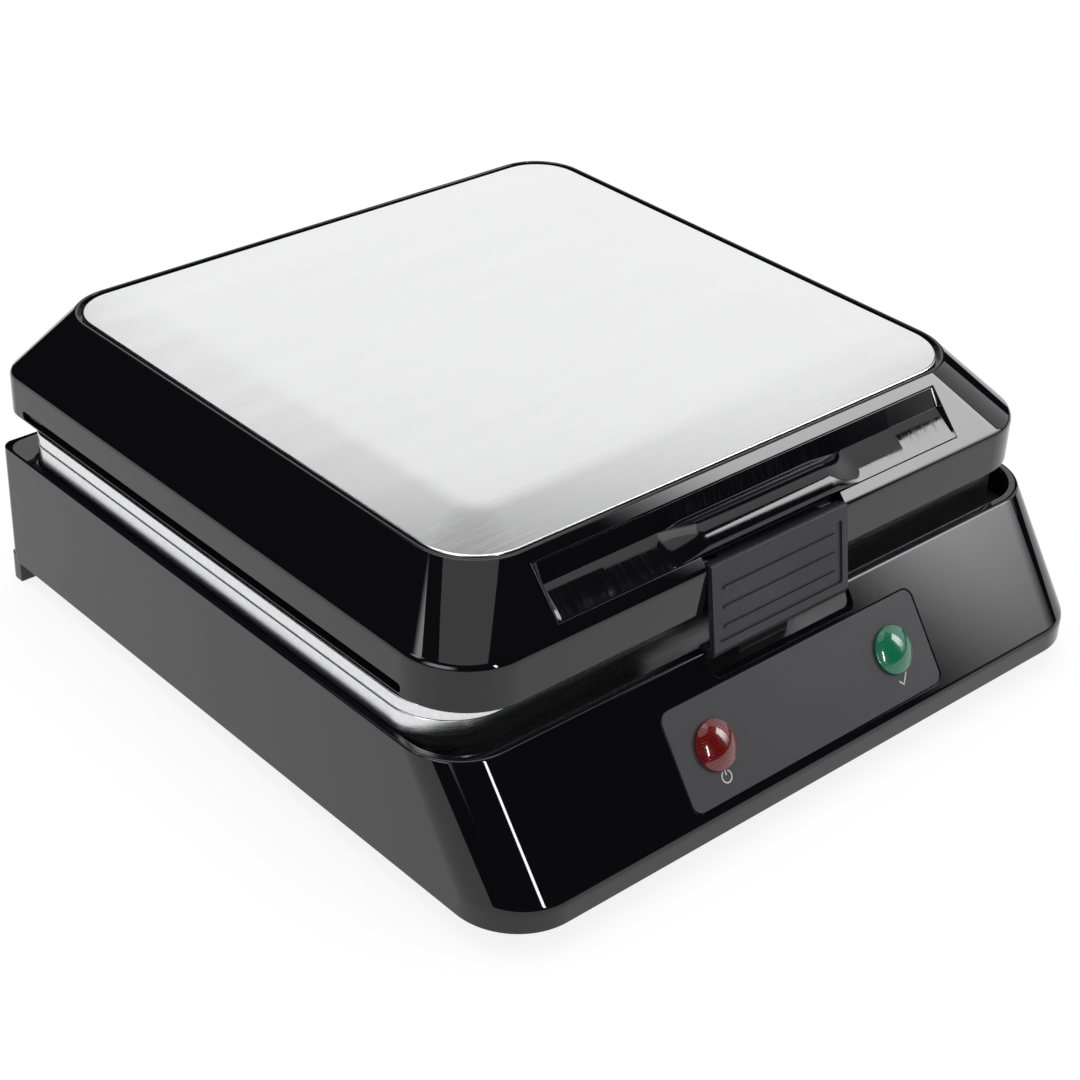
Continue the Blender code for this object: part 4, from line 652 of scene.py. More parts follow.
def ready(piece: bpy.types.Object, finish: Finish, body: Body, *nodes: str) -> bpy.types.Object:
    """Settles, finishes and rides a piece, which stands for the named nodes.

    Args:
        piece: the new object, in its place.
        finish: its finish.
        body: the body that it moves with.
        nodes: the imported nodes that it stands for, if any.

    Returns:
        The same piece.
    """
    settle(piece)
    finish.on(piece)
    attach(piece, body.value)
    if nodes:
        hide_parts(*nodes)
    return piece


# The base

@dataclass
class BaseShell:
    """The gloss shell of the base: skirt, sloped front, ledge, latch notch and rear legs."""

    half: float = 145.5 * MM
    front: float = -149.0 * MM
    rear: float = 145.5 * MM
    top: float = 59.0 * MM
    lift: float = 8.4 * MM
    crease: float = 16.8 * MM
    run: float = 30.0 * MM
    wall: float = 2.5 * MM
    front_radius: float = 25.0 * MM
    top_radius: float = 23.0 * MM
    rear_radius: float = 5.0 * MM
    ledge_side: float = 3.1 * MM
    ledge_front: float = 3.2 * MM
    ledge_rear: float = 15.4 * MM
    hole_rear_radius: float = 10.0 * MM
    leg: float = 7.0 * MM
    notch: tuple[float, float, float] = (70.0 * MM, 8.4 * MM, 3.0 * MM)
    panel: tuple[float, float, float] = (124.0 * MM, 36.0 * MM, 4.0 * MM)
    panel_margin: float = 12.0 * MM
    panel_thickness: float = 1.2 * MM
    seat_gap: float = 0.3 * MM
    lamp_half_spacing: float = 44.5 * MM
    lamp_drop: float = 17.6 * MM
    lamp_hole: float = 7.9 * MM
    gland: tuple[float, float, float] = (60.0 * MM, 27.0 * MM, 6.0 * MM)
    ledge_hole: float = 1.8 * MM
    ledge_screw_y: float = 139.4 * MM
    ledge_screw_x: tuple[float, ...] = (66.2 * MM, 99.8 * MM)

    @property
    def slope_top(self) -> float:
        """The Y of the slope's top edge."""
        return self.front + self.run

    @property
    def slope_angle(self) -> float:
        """The slope's angle from level."""
        return math.atan2(self.top - self.crease, self.run)

    def plan(self, height: float, wall: float = 0.0) -> Plan:
        """Gives the shell's outline at a height, moved in by a wall."""
        share = max(0.0, min(1.0, (height - self.crease) / (self.top - self.crease)))
        lean = wall / math.sin(self.slope_angle) if share > 0 else wall
        radius = self.front_radius + share * (self.top_radius - self.front_radius)
        return Plan(self.half - wall, self.front + share * self.run + lean, self.rear - wall,
                    max(radius - wall, 0.6 * MM), max(self.rear_radius - wall, 0.6 * MM), height)

    def opening(self) -> Plan:
        """Gives the hole inside the top ledge."""
        return Plan(self.half - self.ledge_side, self.slope_top + self.ledge_front,
                    self.rear - self.ledge_rear, self.top_radius - self.ledge_side, self.hole_rear_radius,
                    self.top)

    def on_slope(self, drop: float, x: float = 0.0) -> Matrix:
        """Gives a place on the slope: X along the front, Y up the slope, Z out of it."""
        spot = (x, self.slope_top - drop * math.cos(self.slope_angle),
                self.top - drop * math.sin(self.slope_angle))
        return Matrix.Translation(spot) @ Matrix.Rotation(self.slope_angle, 4, "X")

    def shell(self) -> bpy.types.Object:
        """Lofts the shell, before any hole is cut and before its legs are added."""
        under = self.top - self.wall
        leaning = self.wall - self.wall / math.sin(self.slope_angle)
        inner_crease = self.crease + leaning * math.tan(self.slope_angle)
        low_inner = self.plan(self.lift, self.wall)
        levels = [(self.plan(self.lift), 0.5 * MM), (self.plan(self.crease), 1.6 * MM),
                  (self.plan(self.top), 0.9 * MM), (self.opening(), 0.5 * MM),
                  (self.opening().at(under), 0.3 * MM), (self.plan(under, self.wall), 0.0),
                  (low_inner.at(inner_crease), 0.0), (low_inner, 0.4 * MM)]
        return lofted("base_shell", levels, closed=True)

    def leg_rings(self, side: int) -> list[list[Vector]]:
        """Gives one rear leg's rings, flush with the shell's outer corner."""
        half, rear = self.half - 0.05 * MM, self.rear - 0.05 * MM
        inner, front = side * (half - self.leg), rear - self.leg
        corners = [(inner, front, 0.8 * MM), (side * half, front, 0.3 * MM),
                   (side * half, rear, self.rear_radius), (inner, rear, 0.3 * MM)]
        outline = eased_outline(corners, 6)
        return extrusion_rings(outline, Axis.Z, 0.4 * MM, self.lift + 3.0 * MM)

    def cutters(self) -> list[bpy.types.Object]:
        """Makes the tools for the panel's recess, the holes and the notch."""
        width, height, radius = self.panel
        grow = 2 * self.seat_gap
        outline = rounded_outline(width + grow, height + grow, radius, steps=10)
        recess = extruded("recess_tool", outline, Axis.Z, -self.panel_thickness - self.seat_gap, OVERRUN)
        recess.matrix_world = self.on_slope(self.panel_margin + height / 2)
        tools = [recess]
        for side in (-1, 1):
            place = self.on_slope(self.panel_margin + self.lamp_drop, side * self.lamp_half_spacing)
            profile = [(self.lamp_hole, -5 * MM), (self.lamp_hole, OVERRUN)]
            tools.append(turned(f"lamp_tool_{side + 1}", profile, place=place))
        notch_width, depth, notch_radius = self.notch
        outline = rounded_outline(notch_width, 2 * (depth + OVERRUN), notch_radius, (0.0, self.top + OVERRUN))
        tools.append(extruded("notch_tool", outline, Axis.Y, self.slope_top - self.run / 2,
                              self.slope_top + self.ledge_front + OVERRUN))
        x, z, radius = self.gland
        along_y = Matrix.Translation((x, self.rear, z)) @ Matrix.Rotation(0.5 * math.pi, 4, "X")
        tools.append(turned("gland_tool", [(radius, -OVERRUN), (radius, self.wall + OVERRUN)], place=along_y))
        for index, x in enumerate([side * x for side in (-1, 1) for x in self.ledge_screw_x]):
            place = Matrix.Translation((x, self.ledge_screw_y, self.top - self.wall))
            profile = [(self.ledge_hole, -OVERRUN), (self.ledge_hole, self.wall + 1.5 * MM)]
            tools.append(turned(f"ledge_tool_{index}", profile, 24, place=place))
        bpy.context.view_layer.update()
        return tools

    def build(self) -> list[bpy.types.Object]:
        """Makes the finished shell."""
        shell = self.shell()
        cut_away(shell, self.cutters())
        soften(shell, 0.35 * MM, (-0.066, -0.15, 0.017), (0.066, -0.11, 0.0499))
        soften(shell, 0.3 * MM, (-0.037, -0.126, 0.0503), (0.037, -0.1, 0.0574))
        bm = bmesh.new()
        bm.from_mesh(shell.data)
        for side in (-1, 1):
            add_skin(bm, self.leg_rings(side), closed=False)
        bmesh.ops.recalc_face_normals(bm, faces=bm.faces)
        bm.to_mesh(shell.data)
        bm.free()
        return [ready(shell, SHELL_BLACK, Body.BASE, "base_housing")]


class Symbol(Enum):
    """The plain marks printed beside the lamps."""

    POWER = "power"
    READY = "ready"


@dataclass
class ControlPanel:
    """The grained plate in the slope, its two lamp lenses and their plain marks."""

    base: BaseShell
    lens_radius: float = 8.8 * MM
    lens_rise: float = 3.6 * MM
    lens_foot: float = 0.9 * MM
    lens_body: float = 7.6 * MM
    lens_depth: float = 8.0 * MM
    mark_drop: float = 11.2 * MM
    mark_radius: float = 2.1 * MM
    mark_stroke: float = 0.55 * MM
    ink: float = 0.03 * MM

    def plate(self) -> bpy.types.Object:
        """Makes the plate with its two lamp holes and a broken edge."""
        width, height, radius = self.base.panel
        plate = extruded("panel_plate", rounded_outline(width, height, radius, steps=10), Axis.Z,
                         -self.base.panel_thickness, -0.02 * MM)
        rise = height / 2 - self.base.lamp_drop
        tools = []
        for side in (-1, 1):
            place = Matrix.Translation((side * self.base.lamp_half_spacing, rise, 0.0))
            profile = [(self.base.lamp_hole, -5 * MM), (self.base.lamp_hole, 5 * MM)]
            tools.append(turned(f"lens_tool_{side + 1}", profile, place=place))
        cut_away(plate, tools)
        soften(plate, 0.3 * MM)
        plate.matrix_world = self.base.on_slope(self.base.panel_margin + height / 2)
        return plate

    def lens(self, name: str, side: int) -> bpy.types.Object:
        """Turns one domed lens with its body behind the panel."""
        dome = self.lens_rise - self.lens_foot
        sphere = (self.lens_radius ** 2 + dome ** 2) / (2 * dome)
        profile = []
        for step in range(1, 15):
            radius = self.lens_radius * step / 14.6
            profile.append((radius, self.lens_rise - sphere + math.sqrt(sphere ** 2 - radius ** 2)))
        profile += [(self.lens_radius - 0.12 * MM, self.lens_foot + 0.12 * MM),
                    (self.lens_radius, self.lens_foot - 0.15 * MM), (self.lens_radius, 0.3 * MM),
                    (self.lens_body, 0.3 * MM), (self.lens_body, -self.lens_depth)]
        lens = turned(name, profile)
        lens.matrix_world = self.base.on_slope(self.base.panel_margin + self.base.lamp_drop,
                                               side * self.base.lamp_half_spacing)
        return lens

    def arc(self, bm: bmesh.types.BMesh, start: float, end: float) -> None:
        """Adds a flat round stroke between two angles in degrees."""
        rings = []
        steps = 28
        for step in range(steps + 1):
            angle = math.radians(start + (end - start) * step / steps)
            inner, outer = self.mark_radius - self.mark_stroke / 2, self.mark_radius + self.mark_stroke / 2
            corners = ((inner, 0.0), (outer, 0.0), (outer, self.ink), (inner, self.ink))
            rings.append([Vector((reach * math.cos(angle), reach * math.sin(angle), height))
                          for reach, height in corners])
        add_skin(bm, rings, closed=False)

    def stroke(self, bm: bmesh.types.BMesh, start: Point, end: Point) -> None:
        """Adds a flat straight stroke between two places."""
        along = (Vector(end) - Vector(start)).normalized() * self.mark_stroke / 2
        across = Vector((-along.y, along.x))
        corners = [Vector(start) - along - across, Vector(end) + along - across,
                   Vector(end) + along + across, Vector(start) - along + across]
        rings = [[Vector((*corner, height)) for corner in corners] for height in (0.0, self.ink)]
        add_skin(bm, rings, closed=False)

    def mark(self, symbol: Symbol, side: int) -> bpy.types.Object:
        """Prints one plain mark under its lamp: an on/off ring or a tick."""
        bm = bmesh.new()
        radius = self.mark_radius
        if symbol is Symbol.POWER:
            self.arc(bm, 120.0, 420.0)
            self.stroke(bm, (0.0, radius * 0.35), (0.0, radius * 1.15))
        else:
            self.stroke(bm, (-radius * 0.95, -radius * 0.05), (-radius * 0.25, -radius * 0.8))
            self.stroke(bm, (-radius * 0.25, -radius * 0.8), (radius * 1.05, radius * 0.85))
        mark = piece_from(f"{symbol.value}_mark", bm)
        drop = self.base.panel_margin + self.base.lamp_drop + self.mark_drop
        mark.matrix_world = self.base.on_slope(drop, side * self.base.lamp_half_spacing)
        return mark

    def build(self) -> list[bpy.types.Object]:
        """Makes the plate, the lenses and the marks."""
        made = [ready(self.plate(), PANEL_GRAIN, Body.BASE, "control_panel"),
                ready(self.lens("red_lens", -1), POWER_RED, Body.BASE, "power_lens"),
                ready(self.lens("green_lens", 1), READY_GREEN, Body.BASE, "ready_lens"),
                ready(self.mark(Symbol.POWER, -1), PANEL_INK, Body.BASE),
                ready(self.mark(Symbol.READY, 1), PANEL_INK, Body.BASE)]
        for node in ("power_neon_lamp", "ready_neon_lamp"):
            NEON_GLASS.on_node(node)
        return made


# The cooking plates

@dataclass
class CookingPlates:
    """The two ribbed castings that meet between base and lid."""

    lower_rim: Plan = Plan(142.0 * MM, -107.6 * MM, 129.7 * MM, 22.0 * MM, 10.0 * MM)
    upper_rim: Plan = Plan(142.1 * MM, -110.5 * MM, 129.7 * MM, 24.5 * MM, 10.0 * MM)
    upper_body: Plan = Plan(136.2 * MM, -106.5 * MM, 127.7 * MM, 21.7 * MM, 6.7 * MM)
    lower_bottom: float = 47.0 * MM
    lower_top: float = 67.0 * MM
    upper_low: float = 67.4 * MM
    upper_flange_top: float = 72.3 * MM
    upper_top: float = 79.6 * MM
    dish: float = 5.5 * MM
    skin: float = 3.2 * MM
    body_wall: float = 4.0 * MM
    rim_width: float = 6.0 * MM
    rim_slope: float = 3.0 * MM
    rib_pitch: float = 12.5 * MM
    rib_half: float = 2.0 * MM
    rib_tip: float = 0.8 * MM
    rib_height: float = 3.0 * MM
    rib_margin: float = 14.0 * MM

    def add_ribs(self, bm: bmesh.types.BMesh, rim: Plan, surface: float, direction: int) -> None:
        """Adds the plate's long ribs, with round tips and sloped ends.

        Args:
            bm: the casting's mesh.
            rim: the casting's rim.
            surface: the height of its sunk field.
            direction: 1 for ribs that point up, -1 for ribs that point down.
        """
        sunk = rim.inset(self.rim_width + self.rim_slope)
        count = int((sunk.half - 2 * self.rib_half) / self.rib_pitch)
        start, end = sunk.front + self.rib_margin, sunk.rear - self.rib_margin
        root = surface - direction * 0.5 * MM
        tip = surface + direction * self.rib_height
        for index in range(-count, count + 1):
            centre = index * self.rib_pitch
            rings = []
            for along, share in ((start, 0.12), (start + 0.8 * MM, 0.8), (start + 2.2 * MM, 1.0),
                                 (end - 2.2 * MM, 1.0), (end - 0.8 * MM, 0.8), (end, 0.12)):
                high = root + (tip - root) * share
                corners = [(centre - self.rib_half, root, 0.0), (centre + self.rib_half, root, 0.0),
                           (centre + self.rib_tip, high, 0.7 * MM), (centre - self.rib_tip, high, 0.7 * MM)]
                rings.append([Vector((x, along, z)) for x, z in eased_outline(corners, 4)])
            add_skin(bm, rings, closed=False)

    def lower(self) -> bpy.types.Object:
        """Makes the lower casting."""
        rim = self.lower_rim
        surface = self.lower_top - self.dish
        back = rim.inset(5.0 * MM)
        inner = rim.inset(self.rim_width + self.rim_slope).at(surface)
        levels = [(back.at(surface - self.skin), 0.0), (back.at(self.lower_bottom), 0.5 * MM),
                  (rim.inset(1.0 * MM).at(self.lower_bottom), 0.5 * MM),
                  (rim.at(self.lower_bottom + 2.5 * MM), 0.8 * MM), (rim.at(self.lower_top), 0.7 * MM),
                  (rim.inset(self.rim_width).at(self.lower_top), 1.2 * MM), (inner, 1.2 * MM),
                  (inner.inset(5.0 * MM), 0.0)]
        bm = bmesh.new()
        add_skin(bm, [level.ring() for level in eased_levels(levels, closed=False, steps=6)], closed=False)
        self.add_ribs(bm, rim, surface, 1)
        return piece_from("lower_plate_casting", bm)

    def upper(self) -> bpy.types.Object:
        """Makes the upper casting, whose field faces down."""
        rim = self.upper_rim
        surface = self.upper_low + self.dish
        inner = rim.inset(self.rim_width + self.rim_slope).at(surface)
        back = self.upper_body.inset(self.body_wall)
        levels = [(inner.inset(5.0 * MM), 0.0), (inner, 1.2 * MM),
                  (rim.inset(self.rim_width).at(self.upper_low), 1.2 * MM),
                  (rim.at(self.upper_low), 0.6 * MM), (rim.at(self.upper_flange_top), 0.5 * MM),
                  (self.upper_body.at(self.upper_flange_top), 0.5 * MM),
                  (self.upper_body.at(self.upper_top), 0.3 * MM), (back.at(self.upper_top), 0.3 * MM),
                  (back.at(surface + self.skin), 0.0)]
        bm = bmesh.new()
        add_skin(bm, [level.ring() for level in eased_levels(levels, closed=False, steps=6)], closed=False)
        self.add_ribs(bm, rim, surface, -1)
        return piece_from("upper_plate_casting", bm)

    def build(self) -> list[bpy.types.Object]:
        """Makes both castings."""
        return [ready(self.lower(), PLATE_METAL, Body.BASE, "lower_cooking_plate"),
                ready(self.upper(), PLATE_METAL, Body.LID, "upper_cooking_plate")]


# The lid

@dataclass
class LidShell:
    """The gloss shell of the lid: band, sloped shoulders, rim, slots and front windows."""

    half: float = 141.5 * MM
    front: float = -116.2 * MM
    rear: float = 149.0 * MM
    bottom: float = 72.6 * MM
    shoulder: float = 89.0 * MM
    top: float = 111.3 * MM
    run_side: float = 20.15 * MM
    run_front: float = 20.3 * MM
    run_rear: float = 8.6 * MM
    front_radius: float = 27.0 * MM
    rear_radius: float = 12.0 * MM
    rim_radius: float = 25.0 * MM
    rim_rear_radius: float = 21.0 * MM
    wall: float = 2.5 * MM
    rim: float = 1.2 * MM
    seat_depth: float = 2.5 * MM
    seat_width: float = 8.0 * MM
    slot_height: float = 3.4 * MM
    slot_low: float = 73.5 * MM
    slot_ends: tuple[float, float] = (-90.2 * MM, 133.0 * MM)
    boss_places: tuple[Point, ...] = ((128.7 * MM, -82.2 * MM), (128.7 * MM, 105.0 * MM))
    boss_ends: Point = (82.7 * MM, 97.1 * MM)
    boss_radius: float = 4.0 * MM
    window: tuple[float, float, float] = (96.3 * MM, 5.1 * MM, 25.7 * MM)
    window_depth: float = 4.4 * MM
    neck: tuple[float, float, float] = (33.8 * MM, 79.1 * MM, 94.4 * MM)

    @property
    def slope_angle(self) -> float:
        """The front slope's angle from level."""
        return math.atan2(self.top - self.shoulder, self.run_front)

    def plan(self, height: float, wall: float = 0.0) -> Plan:
        """Gives the lid's outline at a height, moved in by a wall."""
        share = max(0.0, min(1.0, (height - self.shoulder) / (self.top - self.shoulder)))
        return Plan(self.half - share * self.run_side - wall, self.front + share * self.run_front + wall,
                    self.rear - share * self.run_rear - wall,
                    self.front_radius + share * (self.rim_radius - self.front_radius) - wall,
                    self.rear_radius + share * (self.rim_rear_radius - self.rear_radius) - wall, height)

    def on_slope(self) -> Matrix:
        """Gives the front slope's place: X along it, Y up it, Z out of it."""
        foot = Matrix.Translation((0.0, self.front, self.shoulder))
        return foot @ Matrix.Rotation(self.slope_angle, 4, "X")

    def shell(self) -> bpy.types.Object:
        """Lofts the shell, before any hole is cut."""
        seat = self.top - self.seat_depth
        under = seat - self.wall
        rim = self.plan(self.top)
        well = rim.inset(self.rim)
        hole = well.inset(self.seat_width)
        levels = [(self.plan(self.bottom), 0.5 * MM), (self.plan(self.shoulder), 1.5 * MM), (rim, 0.45 * MM),
                  (well, 0.4 * MM), (well.at(seat), 0.3 * MM), (hole.at(seat), 0.0), (hole.at(under), 0.0),
                  (self.plan(under, self.wall), 0.0), (self.plan(self.shoulder, self.wall), 0.0),
                  (self.plan(self.bottom, self.wall), 0.4 * MM)]
        return lofted("lid_shell", levels, closed=True)

    def cutters(self) -> list[bpy.types.Object]:
        """Makes the tools for the handle's and latch's windows and the side slots."""
        half, low, high = self.window
        window = extruded("window_tool", [(-half, low), (half, low), (half, high), (-half, high)], Axis.Z,
                          -self.window_depth, 2.0 * MM)
        window.matrix_world = self.on_slope()
        half, low, high = self.neck
        ahead, behind = self.front - OVERRUN, self.front + self.wall + OVERRUN
        neck = extruded("neck_tool", [(-half, ahead), (half, ahead), (half, behind), (-half, behind)], Axis.Z,
                        low, high)
        first, last = self.slot_ends
        slot = rounded_outline(last - first, self.slot_height, 1.4 * MM,
                               ((first + last) / 2, self.slot_low + self.slot_height / 2), 5)
        tools = [window, neck]
        for side in (-1, 1):
            ends = sorted((side * (self.half - self.wall - OVERRUN), side * (self.half + OVERRUN)))
            tools.append(extruded(f"slot_tool_{side + 1}", slot, Axis.X, *ends))
        bpy.context.view_layer.update()
        return tools

    def build(self) -> list[bpy.types.Object]:
        """Makes the finished shell with its four inner bosses."""
        shell = self.shell()
        cut_away(shell, self.cutters())
        soften(shell, 0.25 * MM, (-0.098, -0.12, 0.0925), (0.098, -0.095, 0.1095))
        for side in (-1, 1):
            ends = sorted((side * (self.half - 0.8 * MM), side * (self.half + 1 * MM)))
            soften(shell, 0.25 * MM, (ends[0], -0.093, 0.0732), (ends[1], 0.135, 0.0772))
        bm = bmesh.new()
        bm.from_mesh(shell.data)
        for side in (-1, 1):
            for x, y in self.boss_places:
                profile = [(self.boss_radius, height) for height in self.boss_ends]
                add_skin(bm, turned_rings(profile, 32, Matrix.Translation((side * x, y, 0.0))), closed=False)
        bmesh.ops.recalc_face_normals(bm, faces=bm.faces)
        bm.to_mesh(shell.data)
        bm.free()
        return [ready(shell, SHELL_BLACK, Body.LID, "lid_housing")]


@dataclass
class TopPlate:
    """The brushed plate let into the lid's rim, a shallow pillow with soft folds."""

    lid: LidShell
    gap: float = 1.5 * MM
    low: float = 109.1 * MM
    high: float = 111.0 * MM
    crown: float = 112.3 * MM
    margin: float = 24.0 * MM
    fold_radius: float = 9.0 * MM

    def build(self) -> list[bpy.types.Object]:
        """Makes the plate."""
        edge = self.lid.plan(self.lid.top).inset(self.lid.rim + self.gap)
        inner = replace(edge.inset(self.margin), front_radius=self.fold_radius, rear_radius=self.fold_radius)
        levels = [(edge.at(self.low), 0.0), (edge.at(self.high), 0.7 * MM), (inner.at(self.crown), 4.0 * MM),
                  (inner.inset(8.0 * MM).at(self.crown), 0.0)]
        plate = lofted("steel_top_sheet", levels, steps=8)
        return [ready(plate, TOP_STEEL, Body.LID, "steel_top_plate")]


@dataclass
class LidHandle:
    """The insert in the front slope: a finger pocket whose floor swells into a lip."""

    lid: LidShell
    half: float = 96.0 * MM
    height: float = 20.0 * MM
    foot: float = 5.4 * MM
    depth: float = 4.4 * MM
    pocket_wall: float = 7.2 * MM
    pocket_depth: float = 2.9 * MM
    pocket_end: float = 1.6 * MM
    pocket_end_share: float = 0.6
    pocket_ramp: float = 24.4 * MM
    lip_flat: float = 30.0 * MM
    lip_blend: float = 17.0 * MM
    lip_proud: float = 3.4 * MM
    pivot: Point = (-108.9 * MM, 86.1 * MM)
    lug_radius: float = 2.4 * MM
    lug_root: float = 94.4 * MM
    lug_ends: Point = (33.8 * MM, 36.8 * MM)
    face_shares: tuple[tuple[float, float, float], ...] = (
        (1.0, 1.0, -0.1), (0.95, 0.93, 0.42), (0.78, 0.68, 0.86), (0.52, 0.4, 1.0),
        (0.28, 0.18, 0.86), (0.06, 0.04, 0.4), (0.0, 0.0, 0.0))

    def pocket(self, x: float) -> float:
        """Gives the pocket's share of its full depth at one X."""
        inside = self.half - abs(x)
        wall = max(0.0, min(1.0, inside / self.pocket_end))
        ramp = max(0.0, min(1.0, (inside - self.pocket_end) / self.pocket_ramp))
        return wall * (self.pocket_end_share + (1 - self.pocket_end_share) * ramp)

    def swell(self, x: float) -> float:
        """Gives the lip's share of its full height at one X."""
        share = max(0.0, min(1.0, (self.lip_flat + self.lip_blend - abs(x)) / self.lip_blend))
        return share * share * (3 - 2 * share)

    def section(self, x: float) -> list[Point]:
        """Gives the section's points at one X: distance up the slope, and out of it."""
        low, high = self.foot, self.foot + self.height
        span = self.height - self.pocket_wall
        keys = [Vector((low + along * span,
                        -deep * self.pocket(x) * self.pocket_depth + bulge * self.swell(x) * self.lip_proud))
                for along, deep, bulge in self.face_shares]
        face = []
        for index in range(len(keys) - 1):
            first, second = keys[index], keys[index + 1]
            lead = keys[index - 1] if index else first
            tail = keys[index + 2] if index + 2 < len(keys) else second
            for step in range(4):
                t = step / 4
                face.append(0.5 * ((2 * first) + (second - lead) * t
                                   + (2 * lead - 5 * first + 4 * second - tail) * t * t
                                   + (3 * first - lead - 3 * second + tail) * t ** 3))
        corners = [(low, -self.depth, 0.0), (high, -self.depth, 0.0), (high, 0.0, 0.35 * MM)]
        points = eased_outline(corners + [(face[0].x, face[0].y, 0.0)], 4)[:-1]
        points += [(spot.x, spot.y) for spot in face]
        points += eased_outline([(face[-1].x, face[-1].y, 0.0), (low, 0.0, 0.3 * MM),
                                 (low, -self.depth, 0.0)], 4)[1:-1]
        return points

    def stations(self) -> list[float]:
        """Gives the places along X, closest where the form turns."""
        crease = self.half - self.pocket_end - self.pocket_ramp
        places = [self.half - self.pocket_end * step / 4 for step in range(5)]
        places += [crease + 0.4 * MM, crease, crease - 0.4 * MM, self.lip_flat + self.lip_blend + 3 * MM]
        places += [self.lip_flat + self.lip_blend * (1 - step / 20) for step in range(21)]
        places += [self.lip_flat * (1 - step / 6) for step in range(1, 6)]
        return [-place for place in places] + [0.0] + places[::-1]

    def lugs(self, bm: bmesh.types.BMesh) -> None:
        """Adds the two lugs that hold the latch's pin."""
        turn = self.lid.on_slope().inverted()
        (pivot_y, pivot_z), radius = self.pivot, self.lug_radius
        outline = [(pivot_y + radius * math.cos(math.pi * (1 + step / 16)),
                    pivot_z + radius * math.sin(math.pi * (1 + step / 16))) for step in range(17)]
        outline += [(pivot_y + radius, self.lug_root), (pivot_y - radius, self.lug_root)]
        for side in (-1, 1):
            ends = sorted(side * end for end in self.lug_ends)
            rings = extrusion_rings(outline, Axis.X, *ends)
            add_skin(bm, [[turn @ point for point in ring] for ring in rings], closed=False)

    def build(self) -> list[bpy.types.Object]:
        """Makes the insert."""
        bm = bmesh.new()
        add_skin(bm, [[Vector((x, along, out)) for along, out in self.section(x)] for x in self.stations()],
                 closed=False)
        self.lugs(bm)
        handle = piece_from("handle_insert", bm)
        handle.matrix_world = self.lid.on_slope()
        return [ready(handle, HANDLE_BLACK, Body.LID, "lid_handle")]


# The latch

